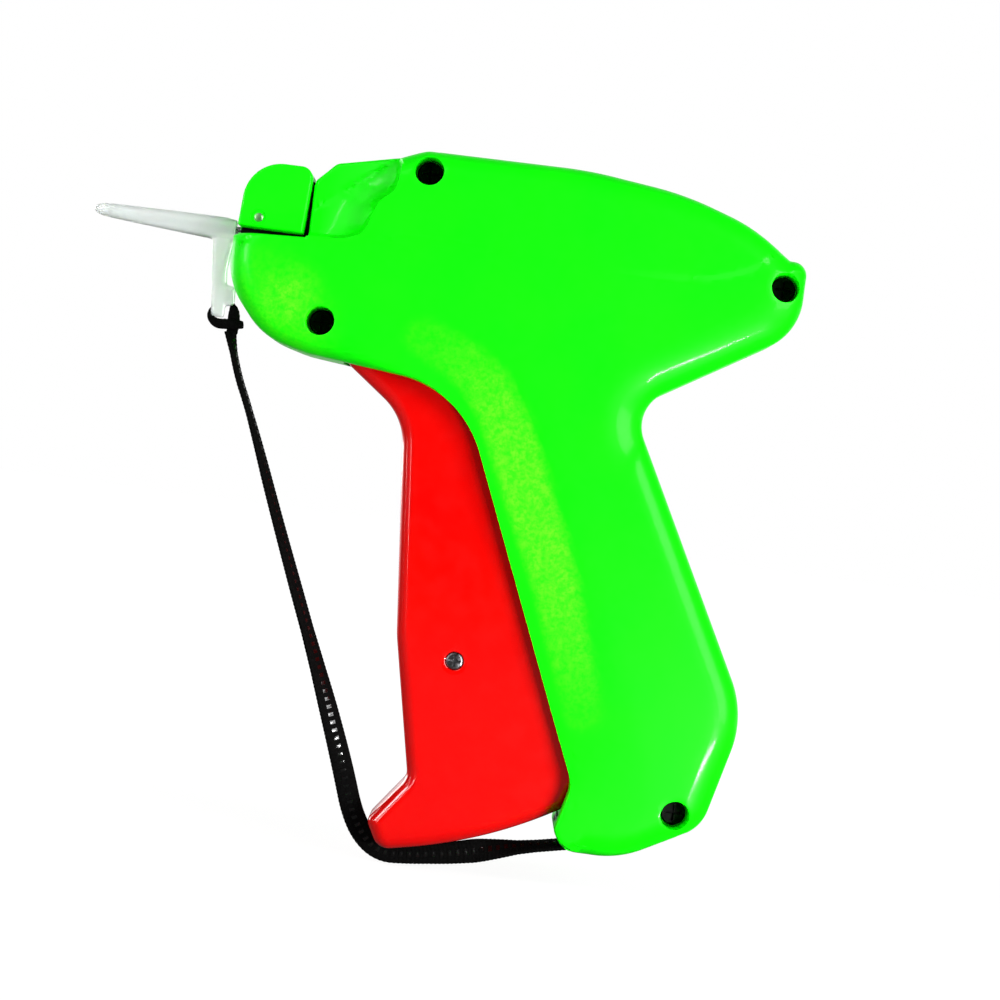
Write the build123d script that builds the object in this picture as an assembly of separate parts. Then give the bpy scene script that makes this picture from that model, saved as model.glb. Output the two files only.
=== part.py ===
from build123d import *
from math import atan, atan2, cos, degrees, hypot, pi, radians, sin
import os

# Garment tag attacher. Millimetres. +X runs from the nose to the rear, +Z is up, and the left side
# faces -Y. The origin is on the needle's axis, at the front of the nose.

# Casing
half_thickness = 14.0  # split plane to the side of each half
wall = 2.2
crown = 6.0  # rounding of the casing's outer edge
cavity_step = 3.0  # the cavity narrows by this much beside the crown
web_half = 5.5  # half thickness of the casing in the thumb scoop
web_wall = 2.0
slot_front = 13.95  # magazine slot, front and rear faces
slot_width = 1.2
slot_half_depth = 2.4
jaw_top = -0.9
jaw_front = -0.7
jaw_low = -6.5
heel_half = 7.0
rib = 2.0  # thickness of inner ribs and rails

# Clearances
part_gap = 0.3  # between pieces that move past each other
running_gap = 0.05  # radial, shaft in bore
seat_gap = 0.04  # between pieces that are fixed together
open_pivot_gap = 1.2  # radial, at the pivot where the linkage is opened

# Trigger and its drive
pivot_x, pivot_z = 34.0, -18.6
pin_radius = 2.0
pivot_boss_radius = 4.2
trigger_half = 9.0
trigger_wall = 2.2
trigger_round = 3.4
trigger_reach = 112.0  # pivot to the trigger's lower edge
grip_end_z = pivot_z - trigger_reach  # straight below the pivot; the grip's end follows it
toe_radius = 3.6
squeeze_deg = 13.0
trigger_screw_x, trigger_screw_z = 59.66, -88.2
screw_shank_radius = 1.5
screw_boss_wall = 1.6
trigger_screw_head = 1.95
trigger_screw_sink = 0.15
trigger_recess_gap = 0.1

# Drive lever, link and carriage
lever_x, lever_z = 87.8, -53.8
lever_bend_x, lever_bend_z = 82.0, -30.0
lever_half = 1.5
lever_arm = 26.0  # pivot to the link's pin
lever_arm_rest_deg = -81.9
lever_width = 7.0
carriage_pin_z = -0.5
carriage_reach_rest = 12.0  # carriage pin behind the lever's pivot at rest
stroke = 36.0
fork_play = 0.9  # each side of the carriage pin in the lever's fork
carriage_half_length = 12.0
carriage_half_width = 8.0
carriage_low, carriage_high = -4.5, 6.0
carriage_slot_half = 9.6
carriage_pin_radius = 2.0
rod_radius = 0.62
rod_tip_x = 16.2
rail_start, rail_end = 46.0, 115.0
rail_inner_y = 3.5
link_inner_y, link_outer_y = 2.0, 4.0
link_pin_radius = 1.5
link_pin_head = 3.3
link_eye_rim = 1.2
spring_radius = 3.2
spring_wire = 0.45
spring_turns = 4
spring_pitch = 1.05
spring_leg = 10.0
spring_bearing = 6.5  # along each leg, from the coil to its peg
spring_peg_radius = 1.0
link_half_width = 3.0

# Needle and nose
needle_radius = 1.0
needle_bore = 0.7
needle_tip_x = -25.0
needle_bevel = 5.0
needle_slit = 0.6
hub_radius = 1.75
hub_front, hub_rear = 0.8, 11.8
block_half = 7.5
block_edge = 0.375
block_low = 0.35
rivet_x, rivet_z = 4.16, 3.0
rivet_radius = 1.1
rivet_ring_radius = 1.75
rivet_ring_depth = 0.4
blade_low, blade_high = -1.6, -1.0  # the cutter's two sides
blade_front = 2.4
knob_x, knob_z = 7.0, -9.6
knob_radius = 4.5
knob_height = 1.7
knob_stem_radius = 2.0
knob_slot_half = 0.6

# Feed
wheel_x, wheel_z = 21.05, -7.2
wheel_tip_radius = 5.6
wheel_root_radius = 4.3
wheel_half = 2.0
wheel_teeth = 12
wheel_shaft_radius = 1.5
wheel_boss_radius = 3.2
tooth_width = 0.9
pawl_half = 0.9
pawl_thickness = 0.8
pawl_depth = 0.85  # how far the pawl reaches inside the teeth's tips
leaf_thickness = 0.4
leaf_half = 1.6
leaf_bend_x, leaf_z = 31.2, -3.3
leaf_rib_front, leaf_rib_rear = 31.8, 36.0

# Screws
screw_places = [(20.9, -18.1), (40.4, 17.4), (120.9, 2.3), (111.8, grip_end_z + 15.4)]
screw_radius = 1.5
screw_head_radius = 2.8
screw_head_height = 1.8
counterbore_radius = 3.2
screw_seat_y = 4.0
screw_end_y = 8.0
post_wall = 1.4
recess_arm = 0.28  # width of a cross recess's arm, for each mm of its reach

# Needle cap
cap_wall = 0.45
cap_top = 2.2
cap_tip_x = -33.0
cap_rear_x = -1.05
cap_low_rear, cap_low_tip = -3.5, -0.8
cap_half_rear, cap_half_tip = 2.3, 1.5
leg_low = -19.6
leg_half = 1.9
eyelet_radius = 0.9
eyelet_z = -17.9

# Knot that ties the strap to the cap's leg
knot_x, knot_z = 1.8, -20.9
knot_radius = 1.7
knot_bend = 0.85
knot_loop = [
    (-4.2, eyelet_z), (-5.2, -19.6), (-3.8, -21.9), (-0.2, -22.2), (2.6, -20.4), (1.7, eyelet_z),
]

# Strap
strap_radius = 1.4
anchor_x, anchor_z = 94.2, grip_end_z + 7.4
anchor_radius = 1.5
anchor_wall = 1.5
strap_hole_length = 9.2
strap_route = [
    (2.0, -23.1), (17.4, -64.7), (44.6, -133.6), (62.1, -131.9), (78.5, -127.8), (91.8, -125.6),
]

# Outer outline of the casing: x, z and corner radius, anticlockwise from the nose's lower front.
# Its outward corners are no smaller than the crown.
casing_outline = [
    (jaw_front, -12.0, 16.0),
    (8.2, -23.2, 16.0),
    (18.0, -25.7, 25.0),
    (53.6, -28.9, 24.0),
    (88.9, grip_end_z + 19.0, 4.0),
    (84.2, grip_end_z + 10.8, 6.2),
    (88.2, grip_end_z + 4.0, 6.2),
    (101.0, grip_end_z + 3.8, 22.0),
    (118.4, grip_end_z + 13.0, 9.0),
    (124.8, grip_end_z + 38.8, 22.0),
    (91.0, -27.6, 8.0),
    (122.2, -8.2, 9.0),
    (126.2, 2.6, 7.0),
    (123.4, 7.2, 6.2),
    (112.3, 14.9, 40.0),
    (96.5, 20.2, 70.0),
    (75.0, 22.7, 90.0),
    (40.3, 22.1, 6.2),
    (36.3, 19.9, 3.0),
    (jaw_front, 10.5, 8.0),
]
# What is cut away above the jaw, for the nose block and the mouth of the magazine slot
nose_outline = [
    (-10.0, jaw_top, 0.3),
    (slot_front + slot_width, jaw_top, 0.3),
    (18.2, 15.3, 4.5),
    (24.0, 16.8, 0.3),
    (24.0, 30.0, 0.3),
    (-10.0, 30.0, 0.3),
]
# Small heel that stands up at the casing's rear tip
heel_outline = [
    (117.0, 5.5, 0.5),
    (123.0, 4.0, 0.5),
    (125.0, 5.4, 0.5),
    (124.4, 8.4, 1.0),
    (120.2, 8.7, 0.5),
]
scoop_outline = [
    (5.0, jaw_top + 0.3, 0.3),
    (23.5, 0.2, 6.0),
    (27.9, 1.8, 4.0),
    (30.3, 9.4, 5.0),
    (33.9, 12.4, 4.0),
    (35.3, 30.0, 0.3),
    (5.0, 30.0, 0.3),
]
block_outline = [
    (-0.4, block_low, 0.5),
    (0.9, 15.6, 9.0),
    (slot_front, 15.6, 2.5),
    (slot_front, block_low, 0.4),
]
# Front of the trigger, from its top to its toe
trigger_front = [
    (41.6, -38.0, 12.0),
    (43.9, -65.0, 60.0),
    (46.4, -84.0, 60.0),
    (52.8, grip_end_z + 14.6, 10.0),
    (45.4, grip_end_z + 6.6, toe_radius),
]
# Rear edge of the trigger's side walls, from the lower end up and round the hub
trigger_rear = [
    (91.4, grip_end_z + 19.0, 2.0),
    (pivot_x + 22.0, pivot_z - 6.8, 20.0),
    (pivot_x + 3.4, pivot_z - 5.6, 1.0),
    (pivot_x + 3.4, pivot_z - 1.0, 0.5),
    (pivot_x - 4.8, pivot_z - 1.0, 0.5),
    (pivot_x - 5.6, pivot_z - 6.4, 1.5),
    (pivot_x - 1.8, pivot_z - 8.8, 3.0),
]
# Behind the trigger, where its rounded block is cut open
trigger_behind = [
    (pivot_x + 46.0, pivot_z + 13.6, 8.0),
    (pivot_x - 14.0, pivot_z + 13.6, 8.0),
    (pivot_x - 2.2, pivot_z - 8.4, 6.0),
]
# The opening that the trigger swings through, cut off by its reach
window_outline = [
    (26.4, -23.2, 0.5),
    (46.0, -23.6, 4.0),
    (60.0, -34.0, 6.0),
    (68.5, -50.0, 6.0),
    (92.5, grip_end_z + 24.6, 3.0),
    (94.0, grip_end_z - 9.4, 0.5),
    (26.4, grip_end_z - 9.4, 0.5),
]
# The cap's leg, which hangs down in front of the nose
leg_outline = [
    (-5.2, cap_low_rear + 0.3, 0.3),
    (-2.95, leg_low, 0.6),
    (-0.25, leg_low, 0.6),
    (-0.25, -17.2, 0.3),
    (cap_rear_x, -9.0, 4.0),
    (cap_rear_x, cap_low_rear + 0.6, 0.2),
    (-5.2, cap_low_rear + 0.6, 0.2),
]

# Derived places
lever_swing = degrees(
    atan(carriage_reach_rest / (carriage_pin_z - lever_z))
    + atan((stroke - carriage_reach_rest) / (carriage_pin_z - lever_z))
)
carriage_pin_x = lever_x + carriage_reach_rest
link_pin_x = lever_x + lever_arm * cos(radians(lever_arm_rest_deg))
link_pin_z = lever_z + lever_arm * sin(radians(lever_arm_rest_deg))
cavity_y = half_thickness - wall
post_radius = counterbore_radius + post_wall
slot_rear = slot_front + slot_width
part_depth = cavity_y + rib / 4
centre_distance = hypot(wheel_x - pivot_x, wheel_z - pivot_z)
centre_deg = degrees(atan2(wheel_z - pivot_z, wheel_x - pivot_x))
wheel_step_deg = 360 / wheel_teeth
pawl_reach = centre_distance - wheel_tip_radius + pawl_depth
pawl_rest_deg = centre_deg - squeeze_deg / 2
gap_rest_deg = centre_deg - 180 + wheel_step_deg / 2
lever_rest_deg = degrees(atan(carriage_reach_rest / (carriage_pin_z - lever_z)))
spring_lead = atan(spring_pitch / (2 * pi * spring_radius))
spring_lean = spring_leg * sin(spring_lead)  # how far a leg's end leans along the coil's axis
spring_y = -lever_half - part_gap - spring_wire - spring_lean
lever_boss_y = -spring_y + spring_turns * spring_pitch + spring_wire + spring_lean + part_gap
peg_offset = spring_radius + spring_wire + spring_peg_radius + seat_gap


def outline(corners):
    """A face in the XZ plane with rounded corners."""
    points = [(x, z) for x, z, _ in corners]
    radii = [radius for _, _, radius in corners]
    return make_face(Plane.XZ * FilletPolyline(*points, radius=radii, close=True))


def slab(face, low, high):
    return Pos(0, low, 0) * extrude(face, amount=high - low, dir=(0, 1, 0))


def block(x0, x1, y0, y1, z0, z1):
    return Pos((x0 + x1) / 2, (y0 + y1) / 2, (z0 + z1) / 2) * Box(x1 - x0, y1 - y0, z1 - z0)


def cross_rod(x, z, radius, low, high):
    """A cylinder along Y."""
    return Pos(x, (low + high) / 2, z) * Rot(90, 0, 0) * Cylinder(radius, high - low)


def long_rod(radius, low, high):
    """A cylinder along X, on the needle's axis."""
    return Pos((low + high) / 2, 0, 0) * Rot(0, 90, 0) * Cylinder(radius, high - low)


def bar(start, end, half_width, low, high):
    """A flat bar between two points of the XZ plane, with round ends."""
    length = hypot(end[0] - start[0], end[1] - start[1])
    turn = -degrees(atan2(end[1] - start[1], end[0] - start[0]))
    middle = Pos((start[0] + end[0]) / 2, (low + high) / 2, (start[1] + end[1]) / 2)
    solid = middle * Rot(0, turn, 0) * Box(length, high - low, 2 * half_width)
    solid += cross_rod(start[0], start[1], half_width, low, high)
    return solid + cross_rod(end[0], end[1], half_width, low, high)


def casing_face():
    """The casing seen from the side, open above the jaw."""
    return outline(casing_outline) - outline(nose_outline)


def cavity():
    """The hollow of one half, for y above 0."""
    face = casing_face()
    wide = offset(face, -wall, kind=Kind.INTERSECTION)
    narrow = offset(face, -wall - cavity_step, kind=Kind.INTERSECTION)
    hollow = slab(wide, -1, trigger_half + part_gap) + slab(narrow, -1, cavity_y)
    scoop = offset(outline(scoop_outline), web_wall, kind=Kind.INTERSECTION)
    return hollow - slab(scoop, web_half - web_wall, half_thickness)


def trigger_window():
    """The opening that the trigger swings through."""
    reach = trigger_reach + 2 * part_gap
    sweep = cross_rod(pivot_x, pivot_z, reach, -1, trigger_half + part_gap)
    return slab(outline(window_outline), -1, trigger_half + part_gap) & sweep


def half_casing():
    """What both halves share, for y above 0."""
    body = slab(outline(casing_outline), 0, half_thickness)
    body = fillet(body.faces().sort_by(Axis.Y)[-1].edges(), crown)
    body -= slab(outline(nose_outline), -1, half_thickness + 1)
    body += slab(outline(heel_outline), 0, heel_half)
    body -= slab(outline(scoop_outline), web_half, half_thickness + 1)
    body -= cavity()
    body -= trigger_window()
    inner = slab(offset(casing_face(), -wall / 2), 0, part_depth)
    details = block(jaw_front + wall / 2, slot_front - 1, 0, part_depth, jaw_low, jaw_top - 0.2)
    for low, high in ((carriage_low - part_gap - rib, carriage_low - part_gap),
                      (carriage_high + part_gap, carriage_high + part_gap + rib)):
        details += block(rail_start, rail_end, rail_inner_y, part_depth, low, high)
    boss_y = trigger_half + part_gap
    details += cross_rod(pivot_x, pivot_z, pivot_boss_radius, boss_y, part_depth)
    details += cross_rod(lever_x, lever_z, pivot_boss_radius, lever_boss_y, part_depth)
    details += cross_rod(wheel_x, wheel_z, wheel_boss_radius, wheel_half + part_gap, part_depth)
    details += cross_rod(anchor_x, anchor_z, anchor_radius + anchor_wall, 3.0, part_depth)
    details += block(leaf_rib_front, leaf_rib_rear, 0, part_depth, leaf_z - rib, leaf_z + rib * 0.8)
    for x, z in screw_places:
        details += cross_rod(x, z, post_radius, 0, part_depth)
    body += details & inner
    body -= cross_rod(pivot_x, pivot_z, pin_radius + seat_gap, 0, cavity_y)
    body -= cross_rod(lever_x, lever_z, pin_radius + seat_gap, 0, cavity_y)
    body -= cross_rod(wheel_x, wheel_z, wheel_shaft_radius + seat_gap, 0, cavity_y - 2)
    body -= cross_rod(anchor_x, anchor_z, anchor_radius + seat_gap, 0, 7.0)
    body -= stop_leaf(seat_gap)
    body -= long_rod(hub_radius + seat_gap, hub_front - seat_gap, hub_rear + seat_gap)
    body -= long_rod(needle_radius + seat_gap, -5, slot_rear)
    body -= long_rod(rod_radius + part_gap, slot_front, rail_start)
    body -= block(slot_front, slot_rear, -1, slot_half_depth, -40, jaw_top + 1)
    strap_hole = strap_radius + part_gap
    end_z = strap_route[-1][1]
    return body - block(anchor_x - strap_hole_length, anchor_x, -1, strap_hole,
                        end_z - 2 * strap_hole, end_z + strap_hole)


def left_shell():
    body = half_casing()
    for x, z in screw_places:
        body -= cross_rod(x, z, counterbore_radius, screw_seat_y, half_thickness + 1)
        body -= cross_rod(x, z, screw_radius + running_gap, -1, screw_seat_y + 1)
    peg_x, peg_z = lever_x + peg_offset, lever_z - spring_bearing
    body += cross_rod(peg_x, peg_z, spring_peg_radius, -spring_y + 1, part_depth)
    return mirror(body, about=Plane.XZ)


def right_shell():
    body = half_casing()
    body += cross_rod(knob_x, knob_z, knob_stem_radius + rib, 6.0, part_depth)
    for x, z in screw_places:
        body -= cross_rod(x, z, screw_radius + running_gap, -1, screw_end_y + 0.5)
    body -= cross_rod(knob_x, knob_z, knob_stem_radius + running_gap, 0, half_thickness + 1)
    return body - block_leg(seat_gap)


def block_leg(gap):
    """The tongue of the nose block that is held in the right half."""
    return block(3.0 - gap, 11.0 + gap, 3.4 - gap, 6.4 + gap, -5.0 - gap, block_low + 1)


def nose_block():
    face = outline(block_outline)
    body = slab(face, -block_half, block_half)
    for side in (0, -1):
        body = fillet(body.faces().sort_by(Axis.Y)[side].edges(), block_edge)
    body += block_leg(0)
    body -= long_rod(hub_radius + seat_gap, hub_front - seat_gap, hub_rear + seat_gap)
    body -= long_rod(needle_radius + seat_gap, -5, slot_rear)
    body -= cross_rod(rivet_x, rivet_z, rivet_radius + seat_gap, -block_half - 1, block_half + 1)
    for low, high in ((-block_half - 1, -block_half + rivet_ring_depth),
                      (block_half - rivet_ring_depth, block_half + 1)):
        body -= cross_rod(rivet_x, rivet_z, rivet_ring_radius, low, high)
    return body - blade_plate(seat_gap)


def blade_plate(gap):
    """The cutter's outline, thicker by gap all round."""
    low, high = blade_low - gap, blade_high + gap
    rear = slot_front - 0.2 + gap
    bottom = hub_radius - 0.2
    plate = block(blade_front - gap, rear, low, high, bottom - gap, rivet_z + 1.8 + gap)
    return plate + block(hub_rear + part_gap - gap, rear, low, high, bottom - 0.4 - gap, bottom + 0.5)


def cutter_blade():
    return blade_plate(0) - cross_rod(rivet_x, rivet_z, rivet_radius + seat_gap, -3, 3)


def nose_block_pin():
    end = block_half - rivet_ring_depth / 2
    return cross_rod(rivet_x, rivet_z, rivet_radius, -end, end)


def needle():
    body = long_rod(needle_radius, needle_tip_x, slot_front - 0.5)
    body -= long_rod(needle_bore, needle_tip_x - 1, slot_front)
    body -= block(needle_tip_x - 1, slot_front, -2, 0, -needle_slit / 2, needle_slit / 2)
    bevel = Polyline(
        (needle_tip_x, needle_radius), (needle_tip_x + needle_bevel, -needle_radius),
        (needle_tip_x + needle_bevel, -2), (needle_tip_x - 1, -2), (needle_tip_x - 1, 2),
        close=True,
    )
    return body - slab(make_face(Plane.XZ * bevel), -2, 2)


def needle_hub():
    body = long_rod(hub_radius, hub_front, hub_rear)
    body -= long_rod(needle_radius + seat_gap, -1, slot_front)
    return body - block(0, slot_front, -hub_radius - 1, 0, -needle_slit / 2, needle_slit / 2)


def needle_lock_knob():
    head_y = half_thickness + part_gap
    body = cross_rod(knob_x, knob_z, knob_stem_radius, 3.0, head_y)
    head = cross_rod(knob_x, knob_z, knob_radius, head_y, head_y + knob_height)
    body += chamfer(head.faces().sort_by(Axis.Y)[-1].edges(), knob_height / 4)
    slot = block(knob_x - knob_radius, knob_x + knob_radius, head_y + knob_height / 2,
                 head_y + knob_height + 1, knob_z - knob_slot_half, knob_z + knob_slot_half)
    return body - slot


def cross_recess(x, z, y, size, depth):
    arm = size * recess_arm
    tall = block(x - arm / 2, x + arm / 2, y, y + depth, z - size, z + size)
    return tall + block(x - size, x + size, y, y + depth, z - arm / 2, z + arm / 2)


def case_screws():
    screws = []
    for x, z in screw_places:
        head_y = -screw_seat_y - screw_head_height
        body = cross_rod(x, z, screw_head_radius, head_y, -screw_seat_y)
        body = chamfer(body.faces().sort_by(Axis.Y)[0].edges(), 0.4)
        body += cross_rod(x, z, screw_radius, -screw_seat_y, screw_end_y)
        screws.append(body - cross_recess(x, z, head_y, screw_head_radius * 0.65, 1.0))
    return Compound(children=[solid for screw in screws for solid in screw.solids()])


def trigger_tail(rear_run, rear_round):
    """The toe and lower arc of the trigger, as corners that follow its front."""
    first, last = radians(-80.5), radians(-60.0)
    middle, half = (first + last) / 2, (last - first) / 2
    toe_run = 4.0
    start = (pivot_x + trigger_reach * cos(first), pivot_z + trigger_reach * sin(first))
    end = (pivot_x + trigger_reach * cos(last), pivot_z + trigger_reach * sin(last))
    bow = trigger_reach / cos(half)
    return [
        (start[0] + toe_run * sin(first), start[1] - toe_run * cos(first), toe_radius),
        (pivot_x + bow * cos(middle), pivot_z + bow * sin(middle), trigger_reach),
        (end[0] - rear_run * sin(last), end[1] + rear_run * cos(last), rear_round),
    ]


def trigger():
    wide = outline(trigger_front + trigger_tail(25.0, 8.0) + trigger_behind)
    body = slab(wide, -trigger_half, trigger_half)
    for side in (0, -1):
        body = fillet(body.faces().sort_by(Axis.Y)[side].edges(), trigger_round)
    inside = offset(wide, -trigger_wall, kind=Kind.INTERSECTION)
    hollow = slab(inside, trigger_wall - trigger_half, trigger_half - trigger_wall)
    side = outline(trigger_front + trigger_tail(1.0, 0.3) + trigger_rear)
    body = (body - hollow) & slab(side, -trigger_half, trigger_half)
    body += cross_rod(pivot_x, pivot_z, pivot_boss_radius, -trigger_half, trigger_half)
    boss = screw_shank_radius + screw_boss_wall
    x, z = trigger_screw_x, trigger_screw_z
    body += cross_rod(x, z, boss, -trigger_half + 1, link_inner_y - part_gap)
    body += cross_rod(x, z, boss, link_outer_y + part_gap, trigger_half - 1)
    body -= cross_rod(x, z, screw_shank_radius + seat_gap, -trigger_half - 1, trigger_half - 1)
    recess = trigger_screw_head + trigger_recess_gap
    body -= cross_rod(x, z, recess, -trigger_half - 1, -trigger_half + 1)
    body -= cross_rod(pivot_x, pivot_z, pin_radius + running_gap, -trigger_half - 1, trigger_half + 1)
    return body - feed_pawl(seat_gap)


def feed_pawl(gap=0.0):
    turn = radians(pawl_rest_deg)
    start = pin_radius + 1.0 - gap
    points = [(pivot_x + r * cos(turn), pivot_z + r * sin(turn)) for r in (start, pawl_reach - 0.3)]
    return bar(points[0], points[1], pawl_thickness / 2 + gap, -pawl_half - gap, pawl_half + gap)


def trigger_screw():
    x, z = trigger_screw_x, trigger_screw_z
    head_y = -trigger_half + trigger_screw_sink
    body = cross_rod(x, z, trigger_screw_head, head_y, -trigger_half + 1)
    body += cross_rod(x, z, screw_shank_radius, -trigger_half + 1, trigger_half - 1.3)
    return body - cross_recess(x, z, head_y, 1.25, 0.6)


def stop_leaf(gap=0.0):
    thick = leaf_thickness / 2 + gap
    reach = wheel_tip_radius + part_gap + leaf_thickness
    tip = (wheel_x + reach * cos(radians(18.0)), wheel_z + reach * sin(radians(18.0)))
    bend = (leaf_bend_x, leaf_z)
    flat = bar((leaf_rib_rear - 0.4, leaf_z), bend, thick, -leaf_half - gap, leaf_half + gap)
    return flat + bar(bend, tip, thick, -leaf_half - gap, leaf_half + gap)


def feed_wheel():
    body = cross_rod(wheel_x, wheel_z, wheel_root_radius, -wheel_half, wheel_half)
    for tooth in range(wheel_teeth):
        turn = gap_rest_deg + wheel_step_deg * (tooth + 0.5)
        inner, tip = wheel_root_radius - 0.5, wheel_tip_radius
        corners = [(inner, -tooth_width * 0.7), (tip, -tooth_width * 0.35), (tip, tooth_width * 0.35),
                   (inner, tooth_width * 0.7)]
        spike = slab(make_face(Plane.XZ * Polyline(*corners, close=True)), -wheel_half, wheel_half)
        body += Pos(wheel_x, 0, wheel_z) * Rot(0, -turn, 0) * spike
    return body - cross_rod(wheel_x, wheel_z, wheel_shaft_radius + running_gap, -5, 5)


def drive_lever():
    fork_half = carriage_pin_radius + fork_play
    tine = 2.2
    pin_height = carriage_pin_z - lever_z
    fork_low = pin_height - carriage_pin_radius - 4
    fork = block(-fork_half - tine, fork_half + tine, -lever_half, lever_half,
                 fork_low, pin_height + 7.5)
    slot = block(-fork_half, fork_half, -5, 5, pin_height - carriage_pin_radius - 1, pin_height + 9)
    place = Pos(lever_x, 0, lever_z) * Rot(0, lever_rest_deg, 0)
    body = place * fork
    turn = radians(lever_rest_deg)
    neck = (lever_x + (fork_low + 1) * sin(turn), lever_z + (fork_low + 1) * cos(turn))
    route = [(link_pin_x, link_pin_z), (lever_x, lever_z), (lever_bend_x, lever_bend_z), neck]
    for start, end in zip(route, route[1:]):
        body += bar(start, end, lever_width / 2, -lever_half, lever_half)
    body -= place * slot
    peg_x, peg_z = lever_x + peg_offset, lever_z + spring_bearing
    body += bar((lever_x, peg_z), (peg_x, peg_z), lever_half, -lever_half, lever_half)
    body += cross_rod(peg_x, peg_z, spring_peg_radius, spring_y - spring_wire, 0)
    body -= cross_rod(lever_x, lever_z, pin_radius + running_gap, -5, 5)
    return body - cross_rod(link_pin_x, link_pin_z, link_pin_radius + seat_gap, -5, 5)


def return_spring():
    height = spring_turns * spring_pitch
    path = Helix(pitch=spring_pitch, height=height, radius=spring_radius, lefthand=True)
    start = Plane(origin=path @ 0, z_dir=path % 0) * Circle(spring_wire)
    end = Plane(origin=path @ 1, z_dir=path % 1) * Circle(spring_wire)
    body = sweep(start, path=path) + extrude(start, amount=-spring_leg)
    body += extrude(end, amount=spring_leg)
    return Pos(lever_x, spring_y, lever_z) * Rot(90, 0, 0) * body


def drive_link():
    start, end = (trigger_screw_x, trigger_screw_z), (link_pin_x, link_pin_z)
    hole = link_pin_radius + open_pivot_gap
    body = bar(start, end, link_half_width, link_inner_y, link_outer_y)
    body += cross_rod(end[0], end[1], hole + link_eye_rim, link_inner_y, link_outer_y)
    body -= cross_rod(start[0], start[1], screw_shank_radius + running_gap, 0, 6)
    return body - cross_rod(end[0], end[1], hole, 0, 6)


def link_pin():
    x, z = link_pin_x, link_pin_z
    head_y = link_outer_y + part_gap
    body = cross_rod(x, z, link_pin_radius, -lever_half - 1, head_y + 1)
    body += cross_rod(x, z, link_pin_head, head_y, head_y + 1)
    return body + cross_rod(x, z, link_pin_radius + 1, -lever_half - 1, -lever_half)


def carriage():
    x = carriage_pin_x
    half_x, half_y, slot_y = carriage_half_length, carriage_half_width, lever_half + 2 * part_gap
    body = block(x - half_x, x + half_x, -half_y, half_y, carriage_low, carriage_high)
    body -= block(x - carriage_slot_half, x + carriage_slot_half, -slot_y, slot_y, -20, 20)
    body -= cross_rod(x, carriage_pin_z, carriage_pin_radius + seat_gap, -half_y - 1, half_y + 1)
    return body - long_rod(rod_radius + seat_gap, x - half_x - 1, x - carriage_slot_half + 1)


def carriage_pin():
    end = carriage_half_width
    return cross_rod(carriage_pin_x, carriage_pin_z, carriage_pin_radius, -end, end)


def push_rod():
    return long_rod(rod_radius, rod_tip_x, carriage_pin_x - carriage_slot_half)


def cap_section(x, low, high, half):
    round_off = min(half, (high - low) / 2) * 0.85
    place = Plane(origin=(x, 0, (low + high) / 2), x_dir=(0, 1, 0), z_dir=(-1, 0, 0))
    return place * RectangleRounded(2 * half, high - low, round_off)


def cap_sheath(inset):
    knee_x = cap_tip_x + 1.4
    rear = cap_rear_x + (1.0 if inset else 0.0)
    sections = [
        cap_section(rear, cap_low_rear + inset, cap_top - inset, cap_half_rear - inset),
        cap_section(knee_x + inset, cap_low_tip + inset, cap_top - inset, cap_half_tip - inset),
        cap_section(cap_tip_x + inset, cap_low_tip + inset + 0.8, cap_top - inset - 0.8,
                    cap_half_tip - inset - 0.6),
    ]
    return loft(sections, ruled=True)


def needle_cap():
    body = cap_sheath(0) + slab(outline(leg_outline), -leg_half, leg_half)
    body -= cap_sheath(cap_wall)
    return body - Pos(-2, 0, eyelet_z) * Rot(0, 90, 0) * Cylinder(eyelet_radius, 10)


def strap_knot():
    wire = eyelet_radius - 0.1
    path = Plane.XZ * FilletPolyline(*knot_loop, radius=knot_bend, close=True)
    ring = sweep(Plane(origin=path @ 0, z_dir=path % 0) * Circle(wire), path=path)
    return ring + Pos(knot_x, 0, knot_z) * Sphere(knot_radius)


def strap():
    """A plain round core along the strap's route, with arcs as large as the runs allow."""
    radii = []
    for before, corner, after in zip(strap_route, strap_route[1:], strap_route[2:]):
        first = Vector(corner[0] - before[0], corner[1] - before[1])
        second = Vector(after[0] - corner[0], after[1] - corner[1])
        turn = radians(first.get_angle(second))
        radii.append(0.45 * min(first.length, second.length) / (sin(turn / 2) / cos(turn / 2)))
    print("strap radii", [round(radius, 1) for radius in radii])
    path = Plane.XZ * FilletPolyline(*strap_route, radius=radii)
    print("strap length", round(path.length, 1))
    return sweep(Plane(origin=path @ 0, z_dir=path % 0) * Circle(strap_radius), path=path)


def main_parts():
    boss_end = cavity_y - part_gap
    return {
        "left_shell": left_shell(),
        "right_shell": right_shell(),
        "case_screws": case_screws(),
        "nose_block": nose_block(),
        "nose_block_pin": nose_block_pin(),
        "needle": needle(),
        "needle_hub": needle_hub(),
        "needle_lock_knob": needle_lock_knob(),
        "cutter_blade": cutter_blade(),
        "feed_wheel": feed_wheel(),
        "feed_wheel_shaft": cross_rod(wheel_x, wheel_z, wheel_shaft_radius, 2 - cavity_y, cavity_y - 2),
        "feed_pawl": feed_pawl(),
        "stop_leaf": stop_leaf(),
        "trigger": trigger(),
        "trigger_screw": trigger_screw(),
        "trigger_pivot_pin": cross_rod(pivot_x, pivot_z, pin_radius, -boss_end, boss_end),
        "drive_link": drive_link(),
        "link_pin": link_pin(),
        "drive_lever": drive_lever(),
        "drive_lever_pin": cross_rod(lever_x, lever_z, pin_radius, -boss_end, boss_end),
        "return_spring": return_spring(),
        "carriage": carriage(),
        "carriage_pin": carriage_pin(),
        "push_rod": push_rod(),
        "needle_cap": needle_cap(),
        "strap_knot": strap_knot(),
        "strap": strap(),
        "strap_anchor_pin": cross_rod(anchor_x, anchor_z, anchor_radius, -7.0, 7.0),
    }


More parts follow.
